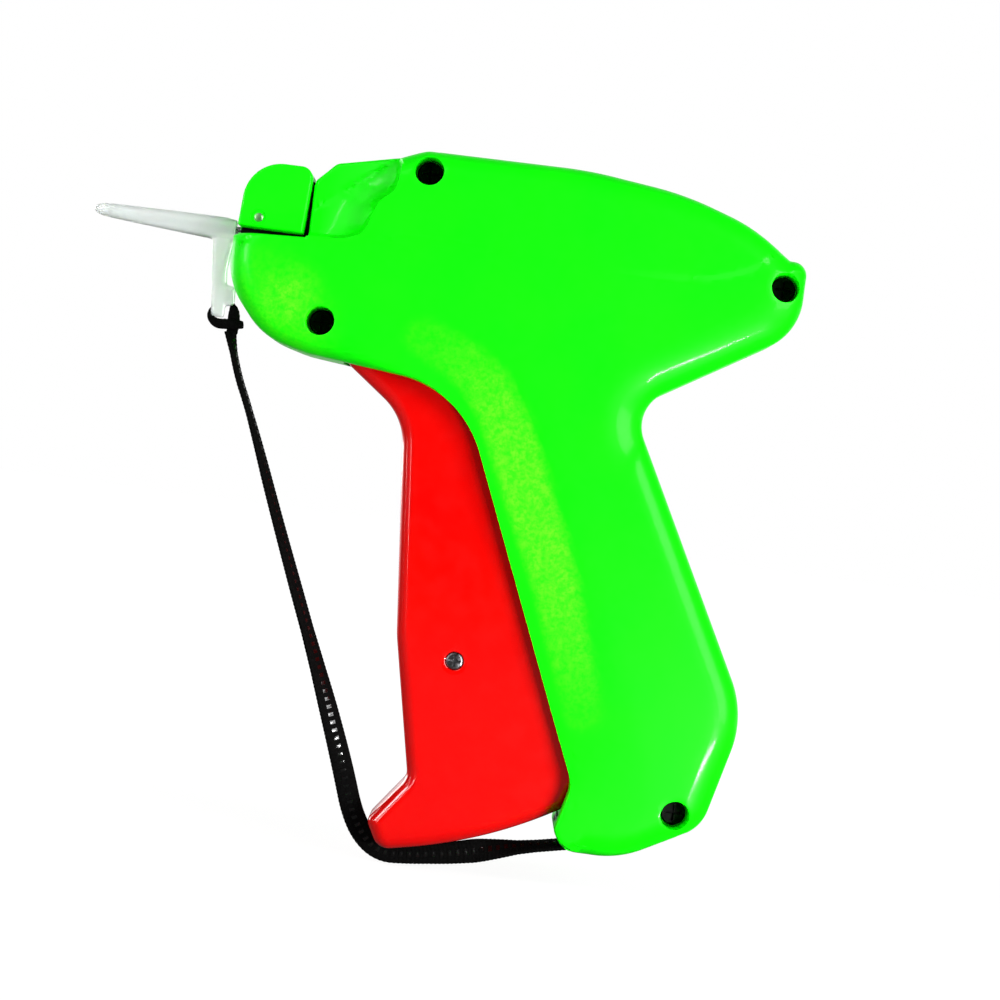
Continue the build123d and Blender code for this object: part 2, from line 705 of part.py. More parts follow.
def write_parts(parts):
    os.makedirs("parts", exist_ok=True)
    for name, shape in parts.items():
        export_step(shape, f"parts/{name}.step")


write_parts(main_parts())
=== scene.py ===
from math import acos, atan2, ceil, cos, pi, radians, sin, sqrt, tan

import bmesh
import bpy
import numpy as np
from mathutils import Matrix, Vector
from mathutils.geometry import delaunay_2d_cdt

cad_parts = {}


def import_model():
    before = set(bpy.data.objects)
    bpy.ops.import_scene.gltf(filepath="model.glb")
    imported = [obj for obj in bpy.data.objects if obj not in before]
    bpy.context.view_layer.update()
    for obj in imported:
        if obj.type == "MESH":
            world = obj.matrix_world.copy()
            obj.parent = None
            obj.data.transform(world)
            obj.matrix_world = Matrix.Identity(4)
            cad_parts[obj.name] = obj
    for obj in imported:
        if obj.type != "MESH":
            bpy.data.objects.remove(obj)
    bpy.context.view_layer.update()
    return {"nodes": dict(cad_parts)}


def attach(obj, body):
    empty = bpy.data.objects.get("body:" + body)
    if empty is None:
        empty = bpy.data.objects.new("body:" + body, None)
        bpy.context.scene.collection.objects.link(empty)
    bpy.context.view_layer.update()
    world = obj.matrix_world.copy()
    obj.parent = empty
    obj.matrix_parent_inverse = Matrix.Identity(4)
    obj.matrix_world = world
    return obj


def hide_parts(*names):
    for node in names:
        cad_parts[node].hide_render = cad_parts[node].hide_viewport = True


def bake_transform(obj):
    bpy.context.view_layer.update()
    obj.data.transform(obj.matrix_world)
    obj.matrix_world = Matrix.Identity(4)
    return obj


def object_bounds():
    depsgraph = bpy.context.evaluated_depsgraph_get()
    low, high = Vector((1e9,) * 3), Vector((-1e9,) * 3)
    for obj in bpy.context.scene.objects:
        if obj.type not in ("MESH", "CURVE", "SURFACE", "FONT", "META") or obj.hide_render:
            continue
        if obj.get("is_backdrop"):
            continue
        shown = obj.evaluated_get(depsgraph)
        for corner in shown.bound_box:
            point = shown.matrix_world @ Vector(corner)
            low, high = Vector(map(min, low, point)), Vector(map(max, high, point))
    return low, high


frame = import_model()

# Lengths are in millimetres and become metres where meshes are made. The frame is the CAD's:
# +X from the nose to the rear, +Z up, the left side faces -Y, the origin on the needle's axis.
MM = 0.001

# Camera
ROLL = radians(7.5)
AIM = (65.0, -8.0, -51.8)
CAMERA_DISTANCE = 611.0
LENS = 100.0
SENSOR = 36.0

# Casing
HALF = 14.0
CROWN = 6.0
WINDOW_CROWN = 1.3
WINDOW_HALF = 9.3
WALL = 2.2
CAVITY_HALF = 11.8
SKIN = 1.4
LIP = 0.2
SEAM = 0.22
# A face steps over a strip this wide, or this far to each side of a line
STRIP, HALF_STRIP = 0.05, 0.06
OUTLINE_STEP = 0.9
GRID_STEP = 1.7
JAW_FRONT = -0.7
SLOT_FRONT, SLOT_REAR = 13.95, 15.35
SLOT_HALF = 2.4

# Corners of the casing's outline: x, z and radius, anticlockwise from the jaw's front top
CROWNED_CORNERS = [
    (JAW_FRONT, -1.35, 0.8),
    (JAW_FRONT, -11.8, 16.0),
    (8.4, -22.8, 16.0),
    (18.2, -25.4, 25.0),
    (53.6, -28.9, 24.0),
    (88.6, -111.4, 8.0),
    (85.9, -121.6, 2.0),
    (88.4, -126.4, 6.2),
    (101.0, -126.6, 22.0),
    (118.2, -117.4, 9.0),
    (124.6, -91.8, 22.0),
    (91.2, -27.9, 8.0),
    (125.42, -6.9, 13.0),
    (125.42, 8.6, 3.2),
    (121.4, 8.6, 1.0),
    (112.3, 14.9, 40.0),
    (96.5, 20.05, 70.0),
    (75.0, 22.55, 90.0),
    (39.2, 22.2, 5.6),
    (33.6, 19.9, 2.0),
]
OPEN_CORNERS = [
    (19.7, 17.2, 2.6),
    (15.6, 13.0, 1.2),
    (SLOT_REAR, 11.6, 0.3),
    (SLOT_REAR + 0.05, -0.5, 0.2),
]
SCOOP_CORNERS = [
    (5.0, -0.55, 0.3),
    (23.5, 0.2, 6.0),
    (27.9, 1.8, 4.0),
    (30.3, 9.4, 5.0),
    (33.9, 12.4, 4.0),
    (35.3, 30.0, 0.3),
    (5.0, 30.0, 0.3),
]
SCOOP_FLOOR = 5.6
SCOOP_RISE = 4.2
SCOOP_RISE_START = 17.5
SCOOP_RUN = 4.0
SCOOP_FOOT = 1.3
CREASE = [
    (27.0, 0.9), (44.5, 2.5), (62.4, 1.1), (79.0, 1.5), (100.2, 1.0), (111.9, 4.3), (115.9, 7.7),
]
CREASE_DEPTH = 0.45
CREASE_HALF = 0.4
CREASE_FADE = 26.0
# The crease's share of its depth at its front, and how that changes over the next two stretches
CREASE_SHARES = (0.75, -0.55, 0.8)
CREASE_FAINT, CREASE_DEEP = (42.0, 60.0), (76.0, 96.0)
WINDOW_CORNERS = [
    (26.4, -23.2, 0.5), (46.0, -23.6, 4.0), (60.0, -34.0, 6.0), (68.5, -50.0, 6.0),
    (92.5, -106.0, 3.0), (94.0, -140.0, 0.5), (26.4, -140.0, 0.5),
]
WINDOW_REACH = 114.2
PIVOT = (34.0, -18.6)

# Numbers of the outline's corners where its stretches begin and end
CHIN_CORNER, WINDOW_FIRST, WINDOW_LAST, TOE_CORNER, TAIL_FIRST, TAIL_LAST = 3, 4, 6, 7, 11, 12
CHIN_BLEND, TOE_BLEND = (20.0, 42.0), (86.5, 93.0)
TAIL_START = 92.0
TAIL_CROWN = 9.5

# Cavity: solid in front of SOLID_FRONT, with a mouth for the strap in the grip's toe
SOLID_FRONT = 28.0
CAVITY_SHELF = 3.0
MOUTH_START, MOUTH_END, MOUTH_Z = 80.0, 94.2, -126.0
MOUTH_HALF_Z, MOUTH_HALF_Y, MOUTH_REACH = 2.2, 1.7, 8.0
RIM_ROUND = 0.7

# Sloped band along the grip's front
BAND_WIDTH = 17.0
BAND_EDGE = 5.0
BAND_SLOPE_REAR, BAND_SLOPE_FRONT = radians(2.0), radians(4.5)
BAND_CURL = 0.004
BAND_X, BAND_TOP = (34.0, 92.0), -20.0
BAND_START, BAND_END, BAND_END_FADE = (38.0, 56.0), (100.0, 117.0), 0.75

# Matte grained patches, where a paler highlight is also painted: a line of x, z, half width and strength
# along the grip, a spot on the nose
GRAIN_AND_HIGHLIGHT_LINE = [
    (44.0, -19.0, 4.0, 0.2), (54.0, -23.2, 4.6, 0.45), (60.0, -28.6, 4.8, 0.75),
    (64.7, -36.3, 5.0, 1.0), (68.5, -44.7, 5.0, 1.0), (72.2, -53.1, 5.0, 1.0),
    (76.2, -61.4, 4.8, 0.95), (79.8, -69.8, 4.6, 0.8), (82.7, -78.3, 4.4, 0.6),
    (86.0, -86.8, 4.2, 0.4), (88.9, -95.3, 4.0, 0.12),
]
GRAIN_AND_HIGHLIGHT_EDGE = 1.3
GRAIN_AND_HIGHLIGHT_SPOTS = [(13.0, -14.3, 5.5, 1.0), (8.0, -13.5, 7.0, 0.35), (16.0, -19.5, 6.0, 0.4)]

# Screws, rivet and knob
SCREWS = [(20.9, -18.1), (40.4, 17.4), (120.9, 2.3), (111.8, -115.2)]
BORE_RADIUS = 3.2
BORE_SEAT = 4.0
BORE_LIP = 0.2
SCREW_HOLE = 1.56
POST_RADIUS = 4.6
KNOB = (7.0, -9.6)
KNOB_HOLE = 2.06
RIVET = (4.16, 3.0)

# Nose block
BLOCK_HALF = 7.5
BLOCK_EDGE = 0.6
RIVET_DIMPLE, DIMPLE_DEPTH = 1.75, 0.4
BLOCK_CORNERS = [
    (-0.25, 0.8, 0.4),
    (14.2, 0.74, 0.4),
    (14.95, 15.45, 2.5),
    (0.55, 15.4, 8.5),
]

# Trigger
TRIGGER_HALF = 9.0
TRIGGER_ROUND = 3.0
TRIGGER_WALL = 2.2
TRIGGER_REACH = 113.9
HEEL_REACH = 112.4
TRIGGER_FRONT = [
    (41.4, -36.4, 13.5),
    (46.2, -84.0, 26.0),
    (52.7, -115.0, 4.0),
    (44.9, -125.4, 2.2),
]
TRIGGER_REAR = [
    (90.0, -112.6, 1.2), (91.6, -109.6, 1.0), (56.0, -25.4, 20.0), (37.4, -24.2, 1.0),
    (37.4, -19.6, 0.5), (29.2, -19.6, 0.5), (27.2, -24.6, 1.0), (28.4, -26.8, 0.8),
]
TRIGGER_TOE, TRIGGER_HEEL = radians(-80.5), radians(-62.6)
TOE_RUN, HEEL_RUN = 4.6, 3.0
TOE_ROUND, HEEL_ROUND = 3.6, 4.0
TRIGGER_SCREW = (59.66, -88.2)
TRIGGER_SCREW_RECESS = 2.05
TRIGGER_SCREW_HEAD = 1.95
TRIGGER_SCREW_HOLE = 1.54
RECESS_LIP = 0.22
BOSS_RADIUS = 3.1
BOSS_HEIGHTS = ((-1, 0.0), (1, 4.3))
PIVOT_HOLE, HUB_RADIUS = 2.05, 4.25

# Strap
STRAP_WIDTH = 4.5
STRAP_THICKNESS = 1.3
STRAP_ROUTE = [
    (0.5, -22.3), (2.8, -30.6), (7.1, -39.4), (17.2, -64.8), (35.6, -108.3), (44.2, -133.5),
    (59.6, -132.3), (75.0, -128.8), (91.8, -125.4),
]
STRAP_TWIST = [(0.0, 36.0), (5.0, 17.0), (19.0, 17.0), (24.0, 24.0), (33.0, 31.0), (69.0, 33.0),
               (78.0, 43.0), (87.0, 60.0), (96.0, 72.0), (105.0, 88.0), (142.0, 90.0),
               (145.5, 64.0), (149.0, 47.0), (152.0, 31.0), (156.0, 25.0), (170.0, 24.0)]
STRAP_WIDTHS = [(0.0, 0.8), (5.0, 0.64), (19.0, 0.64), (33.0, 0.75), (60.0, 0.96), (90.0, 1.03),
                (105.0, 1.08), (114.0, 1.1), (124.0, 1.0), (132.0, 1.02), (142.0, 1.2),
                (149.0, 1.06), (156.0, 1.0), (170.0, 0.95)]
STRAP_STEP = 0.2
STRAP_AROUND = 44
RIB_PITCH = 0.9
RIB_DEPTH = 0.03
EDGE_DEPTH = 0.07
STITCH_PITCH = 1.8
STITCH_HEIGHT = 0.1
STITCH_HALF = 0.32
STITCH_CREST = 0.1
STITCH_REACH = 0.14


# ---- plane geometry

ARC_TURN = radians(9)
SHORTEST_STEP = 0.02
CHUNK = 2000


def rounded(corners, step):
    """Points along a closed polygon with rounded corners, and the corner that each belongs to."""
    arcs = []
    for index, (x, z, radius) in enumerate(corners):
        here = np.array((x, z))
        back, ahead = (np.array(corners[k % len(corners)][:2]) - here for k in (index - 1, index + 1))
        back /= np.linalg.norm(back)
        ahead /= np.linalg.norm(ahead)
        half = acos(np.clip(back @ ahead, -1, 1)) / 2
        middle = (back + ahead) / np.linalg.norm(back + ahead)
        centre = here + middle * radius / sin(half)
        start, end = (here + arm * radius / tan(half) - centre for arm in (back, ahead))
        first = atan2(start[1], start[0])
        turn = (atan2(end[1], end[0]) - first + pi) % (2 * pi) - pi
        count = max(3, ceil(abs(turn) / ARC_TURN), ceil(abs(turn) * radius / step))
        angles = first + turn * np.linspace(0, 1, count + 1)
        arcs.append(centre + radius * np.stack((np.cos(angles), np.sin(angles)), axis=1))
    points, owners = [], []
    for index, arc in enumerate(arcs):
        gap = arcs[(index + 1) % len(arcs)][0] - arc[-1]
        count = int(np.linalg.norm(gap) // step)
        run = [arc[-1] + gap * k / (count + 1) for k in range(1, count + 1)]
        points += list(arc) + run
        owners += [index] * (len(arc) + len(run))
    points, owners = np.array(points), np.array(owners)
    keep = np.linalg.norm(points - np.roll(points, 1, axis=0), axis=1) > SHORTEST_STEP
    return points[keep], owners[keep]


def circle(place, radius, count):
    """Points round a place."""
    angles = np.linspace(0, 2 * pi, count, endpoint=False)
    return np.array(place) + radius * np.stack((np.cos(angles), np.sin(angles)), axis=1)


def ring(place, radius, count):
    """A circle whose last point is its first one."""
    points = circle(place, radius, count)
    return np.vstack((points, points[:1]))


def near(points, place):
    """How far each point is from a place."""
    return np.hypot(points[:, 0] - place[0], points[:, 1] - place[1])


def aside(along):
    """Unit vectors a quarter turn to the left of some vectors."""
    along = along / np.linalg.norm(along, axis=1)[:, None]
    return np.stack((-along[:, 1], along[:, 0]), axis=1)


def inward(loop):
    """Unit normals that point into an anticlockwise loop."""
    return aside(np.roll(loop, -1, axis=0) - np.roll(loop, 1, axis=0))


def travelled(line):
    """How far along a line each of its points is."""
    return np.concatenate(([0], np.cumsum(np.linalg.norm(np.diff(line, axis=0), axis=1))))


def even_path(line, step):
    """The same line with points at even steps, and how far along it each one is."""
    travel = travelled(line)
    places = np.linspace(0, travel[-1], max(2, round(travel[-1] / step)))
    return np.stack([np.interp(places, travel, column) for column in line.T], axis=1), places


def distance(points, line, closed=True):
    """Distance from each point to a polyline, and the nearest stretch's number."""
    start = line if closed else line[:-1]
    end = np.roll(line, -1, axis=0) if closed else line[1:]
    along = end - start
    size = (along ** 2).sum(axis=1)
    best = np.full(len(points), 1e9)
    nearest = np.zeros(len(points), int)
    for low in range(0, len(points), CHUNK):
        part = points[low:low + CHUNK]
        offset = part[:, None] - start[None]
        share = np.clip((offset * along).sum(axis=2) / size, 0, 1)
        gaps = np.linalg.norm(offset - share[..., None] * along, axis=2)
        nearest[low:low + CHUNK] = gaps.argmin(axis=1)
        best[low:low + CHUNK] = gaps.min(axis=1)
    return best, nearest


def inside(points, loop):
    """Whether each point lies inside a loop."""
    after = np.roll(loop, -1, axis=0)
    result = np.zeros(len(points), bool)
    for (x0, z0), (x1, z1) in zip(loop, after):
        if z0 == z1:
            continue
        spans = (points[:, 1] < z0) != (points[:, 1] < z1)
        cross = x0 + (points[:, 1] - z0) * (x1 - x0) / (z1 - z0)
        result ^= spans & (points[:, 0] < cross)
    return result


def smooth(value, low, high):
    """0 below low, 1 above high, and an S curve between them."""
    t = np.clip((value - low) / (high - low), 0, 1)
    return t * t * (3 - 2 * t)


def round_drop(gap, width, depth):
    """How far a rounded edge lies below its face, at a distance inside the edge."""
    share = np.clip((width - gap) / width, 0, 1)
    return depth * (1 - np.sqrt(1 - share ** 2))


def ring_depths(width, count):
    """Distances inside an edge at which its rounding turns by equal steps."""
    return [width * (1 - cos(pi / 2 * k / count)) for k in range(1, count + 1)]


# ---- plates

RING_KEEP = 0.98
GRID_CLEAR = 0.45
LINE_CLEAR = 0.3
JOIN_GAP = 1e-4
WELD = 1e-6
TINY = 1e-6


def clear_of(points, loops, gap):
    """The points that lie further than gap from every line."""
    for loop in loops:
        points = points[distance(points, loop, closed=False)[0] > gap]
    return points


def plate_net(loop, depths, holes, features, grid):
    """Triangles over the XZ plane inside a loop, with rings inside its edge."""
    lines = [np.vstack((hole, hole[:1])) for hole in holes] + features
    normals = inward(loop)
    clouds = []
    for depth in depths:
        inset = loop + normals * depth
        clouds.append(inset[distance(inset, loop)[0] > depth * RING_KEEP])
    low, high = loop.min(axis=0), loop.max(axis=0)
    rows = []
    for row, z in enumerate(np.arange(low[1], high[1], grid * sqrt(3) / 2)):
        xs = np.arange(low[0] + (row % 2) * grid / 2, high[0], grid)
        rows.append(np.stack((xs, np.full(len(xs), z)), axis=1))
    cells = np.vstack(rows)
    cells = cells[inside(cells, loop)]
    cells = cells[distance(cells, loop)[0] > max(depths, default=0) + grid * GRID_CLEAR]
    clouds.append(cells)
    loose = clear_of(np.vstack(clouds), lines, LINE_CLEAR)
    vertices = [Vector(p) for p in loop]
    edges = [(k, (k + 1) % len(loop)) for k in range(len(loop))]
    for line in lines:
        base = len(vertices)
        vertices += [Vector(p) for p in line]
        edges += [(base + k, base + k + 1) for k in range(len(line) - 1)]
    vertices += [Vector(p) for p in loose]
    flat, _, faces, _, _, _ = delaunay_2d_cdt(vertices, edges, [], 0, JOIN_GAP)
    flat = np.array([tuple(p) for p in flat])
    faces = np.array(faces)
    middle = flat[faces].mean(axis=1)
    keep = inside(middle, loop)
    for hole in holes:
        keep &= ~inside(middle, hole)
    return flat, faces[keep]


def plate_side(flat, faces, outer, inner, side, seam=0.0, hollow=True):
    """Vertices and faces of one side: outer face, walls along the edges, and inner face."""
    vertices = [(x, side * y, z) for (x, z), y in zip(flat, outer)]
    count = len(vertices)
    result = [tuple(face) for face in faces]
    uses = {}
    for a, b, c in faces:
        for start, end, other in ((a, b, c), (b, c, a), (c, a, b)):
            uses.setdefault((min(start, end), max(start, end)), []).append((start, end, other))
    border = [edge for edge, used in uses.items() if len(used) == 1]
    shift = np.zeros((count, 2))
    if seam:
        towards = np.zeros((count, 2))
        for edge in border:
            start, end, other = uses[edge][0]
            along = flat[end] - flat[start]
            normal = np.array((-along[1], along[0])) / max(np.linalg.norm(along), 1e-9)
            if normal @ (flat[other] - flat[start]) < 0:
                normal = -normal
            towards[[start, end]] += normal
        length = np.maximum(np.linalg.norm(towards, axis=1), 1e-9)
        shift = towards / length[:, None] * seam * ((inner < 0.01) & (length > 0.1))[:, None]
    vertices += [(x + dx, side * y, z + dz) for (x, z), (dx, dz), y in zip(flat, shift, inner)]
    result += [(a + count, c + count, b + count) for a, b, c in faces
               if hollow or inner[a] + inner[b] + inner[c] > TINY]
    rows = {}
    for k in [k for edge in border for k in edge] if seam else []:
        if k not in rows:
            rows[k] = len(vertices)
            vertices.append((flat[k][0], side * max(inner[k], seam), flat[k][1]))
    for a, b in border:
        if seam:
            result.append((a, b, rows[b], rows[a]))
            result.append((rows[a], rows[b], b + count, a + count))
        else:
            result.append((a, b, b + count, a + count))
    return vertices, result


def placed(name, data):
    """A new object in the scene."""
    piece = bpy.data.objects.new(name, data)
    bpy.context.scene.collection.objects.link(piece)
    return piece


def shade(mesh, sharp):
    """Smooth shading, with edges sharper than an angle in degrees left sharp."""
    mesh.shade_smooth()
    mesh.set_sharp_from_angle(angle=radians(sharp))


def mesh_object(name, vertices, faces, sharp=38.0):
    """A smooth-shaded mesh in metres from vertices in millimetres, with its normals made to agree."""
    mesh = bpy.data.meshes.new(name)
    mesh.from_pydata([Vector(v) * MM for v in vertices], [], [tuple(map(int, f)) for f in faces])
    work = bmesh.new()
    work.from_mesh(mesh)
    bmesh.ops.remove_doubles(work, verts=work.verts, dist=WELD)
    bmesh.ops.dissolve_degenerate(work, edges=work.edges, dist=WELD / 10)
    loose = [v for v in work.verts if not v.link_faces]
    bmesh.ops.delete(work, geom=loose, context="VERTS")
    bmesh.ops.recalc_face_normals(work, faces=work.faces)
    work.to_mesh(mesh)
    work.free()
    shade(mesh, sharp)
    return placed(name, mesh)


def join_sides(sides):
    """The vertices and faces of several forms as one."""
    vertices, faces = [], []
    for side_vertices, side_faces in sides:
        base = len(vertices)
        vertices += side_vertices
        faces += [tuple(k + base for k in face) for face in side_faces]
    return vertices, faces


def round_plate(loop, depths, features, grid, height, width):
    """The net of a plate without holes, and its outer face, rounded along the edge."""
    flat, faces = plate_net(loop, depths, [], features, grid)
    return flat, faces, height - round_drop(distance(flat, loop)[0], width, width)


def mirrored_plate(name, flat, faces, outer, inner, hollow=False):
    """A plate whose two sides are the same."""
    sides = [plate_side(flat, faces, outer, inner, side, hollow=hollow) for side in (-1, 1)]
    return mesh_object(name, *join_sides(sides))


def sleeve(rows, around):
    """Faces of a closed form whose vertices lie in rows round its axis."""
    faces = []
    for base in range(0, (rows - 1) * around, around):
        for k in range(around):
            after = (k + 1) % around
            faces.append((base + k, base + after, base + around + after, base + around + k))
    faces.append(tuple(range(around)))
    faces.append(tuple(range((rows - 1) * around, rows * around)))
    return faces


def dress(piece, body, slot, *nodes):
    """Gives a piece its material, the body it rides on and the nodes it stands for."""
    piece.data.materials.clear()
    piece.data.materials.append(MATERIALS[slot])
    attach(piece, body)
    if nodes:
        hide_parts(*nodes)
    return piece


# ---- materials

def wire(tree, node, **inputs):
    """Sets or links each of a node's inputs that is named."""
    for name, value in inputs.items():
        socket = node.inputs[name.replace("_", " ")]
        if isinstance(value, bpy.types.NodeSocket):
            tree.links.new(value, socket)
        else:
            socket.default_value = value
    return node


def add_node(tree, kind, **inputs):
    """A new shader node with some of its inputs set or linked."""
    return wire(tree, tree.nodes.new("ShaderNode" + kind), **inputs)


def tree_of(name, **values):
    """A new material with its Principled shader's constants set."""
    material = bpy.data.materials.new(name)
    material.use_nodes = True
    tree = material.node_tree
    return material, tree, wire(tree, tree.nodes["Principled BSDF"], **values)


def noise(tree, scale, detail=2.0, roughness=0.5):
    """Noise in object space, with its scale in cycles a metre."""
    place = add_node(tree, "TexCoord").outputs["Object"]
    node = add_node(tree, "TexNoise", Vector=place, Scale=scale, Detail=detail, Roughness=roughness)
    return node.outputs["Fac"]


def mottled(tree, scale, first, last, low=0.3, high=0.7, detail=2.0, roughness=0.5):
    """A colour or grey that goes from first to last as noise goes from low to high."""
    node = add_node(tree, "ValToRGB", Fac=noise(tree, scale, detail, roughness))
    for k, (position, colour) in enumerate(((low, first), (high, last))):
        node.color_ramp.elements[k].position = position
        node.color_ramp.elements[k].color = colour
    return node.outputs["Color"]


def bump(tree, shader, heights):
    """Bumps chained one after the other; each is a height socket, a depth in mm and a strength."""
    chain = {}
    for height, depth, strength in heights:
        node = add_node(tree, "Bump", Height=height, Distance=depth * MM, Strength=strength, **chain)
        chain = {"Normal": node.outputs["Normal"]}
    wire(tree, shader, **chain)


def grey(level):
    """An opaque grey."""
    return (level, level, level, 1.0)


def combined(tree, operation, first, second):
    """The result of one operation on two sockets."""
    node = add_node(tree, "Math")
    node.operation = operation
    tree.links.new(first, node.inputs[0])
    tree.links.new(second, node.inputs[1])
    return node.outputs[0]


def blended(tree, amount, first, last):
    """The first colour socket where amount is 0 and the last where it is 1."""
    return add_node(tree, "MixRGB", Fac=amount, Color1=first, Color2=last).outputs["Color"]


def green_abs():
    """Saturated green ABS, with a coarser matte grain and a painted paler highlight where the mesh's
    attribute for them says so.
    """
    material, tree, shader = tree_of("green_abs", Roughness=0.4, Specular_IOR_Level=0.1,
                                     Coat_Weight=0.1, Coat_Roughness=0.1)
    even = mottled(tree, 70.0, (0.002, 0.88, 0.001, 1), (0.004, 0.94, 0.001, 1))
    # The paler speckled colour is a painted highlight on the grip's front band and the nose, laid over
    # real matte grain.
    pale_highlight_speckle = mottled(tree, 1100.0, (0.03, 0.72, 0.003, 1), (0.115, 0.92, 0.010, 1), 0.38, 0.6, 4.0, 0.65)
    patch = add_node(tree, "Attribute")
    patch.attribute_name = "grain_and_highlight"
    grain_and_highlight = patch.outputs["Fac"]
    mottle = mottled(tree, 450.0, grey(0.35), grey(1.0), 0.3, 0.62, 3.0, 0.6)
    amount = combined(tree, "MULTIPLY", grain_and_highlight, mottle)
    smooth_part, rough_part = (mottled(tree, 900.0, grey(low), grey(high), 0.35, 0.65, 3.0)
                               for low, high in ((0.38, 0.46), (0.5, 0.65)))
    wire(tree, shader, Base_Color=blended(tree, amount, even, pale_highlight_speckle),
         Roughness=blended(tree, grain_and_highlight, smooth_part, rough_part))
    coarse = combined(tree, "MULTIPLY", grain_and_highlight, noise(tree, 1100.0, 4.0, 0.65))
    bump(tree, shader, [(noise(tree, 1500.0, 3.0, 0.6), 0.012, 0.4), (coarse, 0.06, 0.5),
                        (noise(tree, 60.0), 0.05, 0.2)])
    return material


def plain(name, colour, bumps, rough=None, **values):
    """A material of mottled colour with one fine bump, and mottled roughness where that is given."""
    material, tree, shader = tree_of(name, **values)
    wire(tree, shader, Base_Color=mottled(tree, *colour))
    if rough:
        wire(tree, shader, Roughness=mottled(tree, *rough))
    scale, depth, strength = bumps
    bump(tree, shader, [(noise(tree, scale), depth, strength)])
    return material


def metal(name, colour, roughness, scratch):
    """Plain metal with fine scratches."""
    light = tuple(min(1.0, c * 1.15) for c in colour)
    rough = grey(roughness * 0.75), grey(min(1.0, roughness * 1.3))
    return plain(name, (scratch, (*colour, 1), (*light, 1), 0.3, 0.7, 3.0), (scratch * 3, 0.02, 0.3),
                 (scratch * 2, *rough, 0.3, 0.7, 3.0), Metallic=1.0, Roughness=roughness)


BLACK = grey(0.0004), grey(0.002)
MATERIALS = {
    "green_abs": green_abs(),
    # Glossy red ABS
    "red_abs": plain("red_abs", (45.0, (0.6, 0.0, 0.0, 1), (0.68, 0.001, 0.0, 1)), (90.0, 0.06, 0.25),
                     (250.0, grey(0.1), grey(0.19), 0.35, 0.65, 3.0), Roughness=0.14,
                     Specular_IOR_Level=0.45, Coat_Weight=0.3, Coat_Roughness=0.05),
    # Milky translucent polyethylene
    "milky_cap": plain("milky_cap", (120.0, (0.9, 0.97, 0.93, 1), (0.95, 1.0, 0.96, 1)),
                       (300.0, 0.05, 0.3), Roughness=0.34, Subsurface_Weight=0.5,
                       Subsurface_Scale=0.003, Subsurface_Radius=(1.0, 0.95, 0.85),
                       Transmission_Weight=0.5),
    # Black woven polyester, and the glossy yarn of its middle row
    "black_webbing": plain("black_webbing", (1800.0, *BLACK, 0.35, 0.7, 3.0), (4000.0, 0.05, 0.6),
                           Roughness=0.8, Specular_IOR_Level=0.05),
    "black_yarn": plain("black_yarn", (2500.0, *BLACK, 0.35, 0.7), (3000.0, 0.02, 0.4),
                        Roughness=0.16, Specular_IOR_Level=0.5),
    "zinc_steel": metal("zinc_steel", (0.62, 0.62, 0.60), 0.32, 400.0),
    "dark_steel": metal("dark_steel", (0.006, 0.006, 0.006), 0.5, 500.0),
    "screw_nickel": metal("screw_nickel", (0.16, 0.16, 0.17), 0.28, 700.0),
    "rivet_metal": metal("rivet_metal", (0.22, 0.50, 0.20), 0.45, 500.0),
    "needle_steel": metal("needle_steel", (0.72, 0.72, 0.73), 0.16, 800.0),
    "white_nylon": plain("white_nylon", (150.0, (0.78, 0.77, 0.72, 1), (0.86, 0.85, 0.80, 1)),
                         (900.0, 0.03, 0.3), Roughness=0.45, Subsurface_Weight=0.2,
                         Subsurface_Scale=0.002),
}
SLOT_NODES = {
    "green_abs": ["left_shell", "right_shell", "nose_block", "needle_hub"],
    "red_abs": ["trigger", "needle_lock_knob"],
    "milky_cap": ["needle_cap"],
    "black_webbing": ["strap", "strap_knot"],
    "zinc_steel": ["cutter_blade", "feed_wheel_shaft", "stop_leaf", "trigger_pivot_pin",
                   "drive_lever_pin", "strap_anchor_pin", "feed_pawl", "drive_link", "drive_lever",
                   "link_pin", "return_spring", "carriage_pin"],
    "dark_steel": ["case_screws", "trigger_screw"],
    "rivet_metal": ["nose_block_pin"],
    "needle_steel": ["needle", "push_rod"],
    "white_nylon": ["carriage", "feed_wheel"],
}


def paint_nodes():
    """Gives every carried-over CAD node its material."""
    slots = {node: slot for slot, nodes in SLOT_NODES.items() for node in nodes}
    for name, node in frame["nodes"].items():
        for place in node.material_slots:
            place.material = MATERIALS[slots[name]]


# ---- casing

casing_loop, casing_owner = rounded(CROWNED_CORNERS + OPEN_CORNERS, OUTLINE_STEP)
crowned_line = casing_loop[casing_owner < len(CROWNED_CORNERS)]
crowned_owner = casing_owner[casing_owner < len(CROWNED_CORNERS)]
open_line = casing_loop[(casing_owner >= len(CROWNED_CORNERS) - 1) | (casing_owner == 0)]
window_loop, _ = rounded(WINDOW_CORNERS, OUTLINE_STEP)
scoop_loop, _ = rounded(SCOOP_CORNERS, 0.7)
scoop_line = scoop_loop[inside(scoop_loop, casing_loop)]
scoop_line = scoop_line[np.argsort(scoop_line[:, 0] + 0.3 * scoop_line[:, 1])]


def sampled(line, step):
    """A polyline through given points, rounded by a quadratic spline, with even steps."""
    points = np.array(line, float)
    middles = (points[:-1] + points[1:]) / 2
    parts = [points[:1]]
    for start, corner, end in zip(middles[:-1], points[1:-1], middles[1:]):
        t = np.linspace(0, 1, 24)[:, None]
        parts.append((1 - t) ** 2 * start + 2 * t * (1 - t) * corner + t ** 2 * end)
    return even_path(np.vstack(parts + [points[-1:]]), step)[0]


crease_line = sampled(CREASE, 1.2)


def beside(line, gap):
    """The two lines that run gap to each side of a line."""
    normal = aside(np.gradient(line, axis=0))
    return line + normal * gap, line - normal * gap


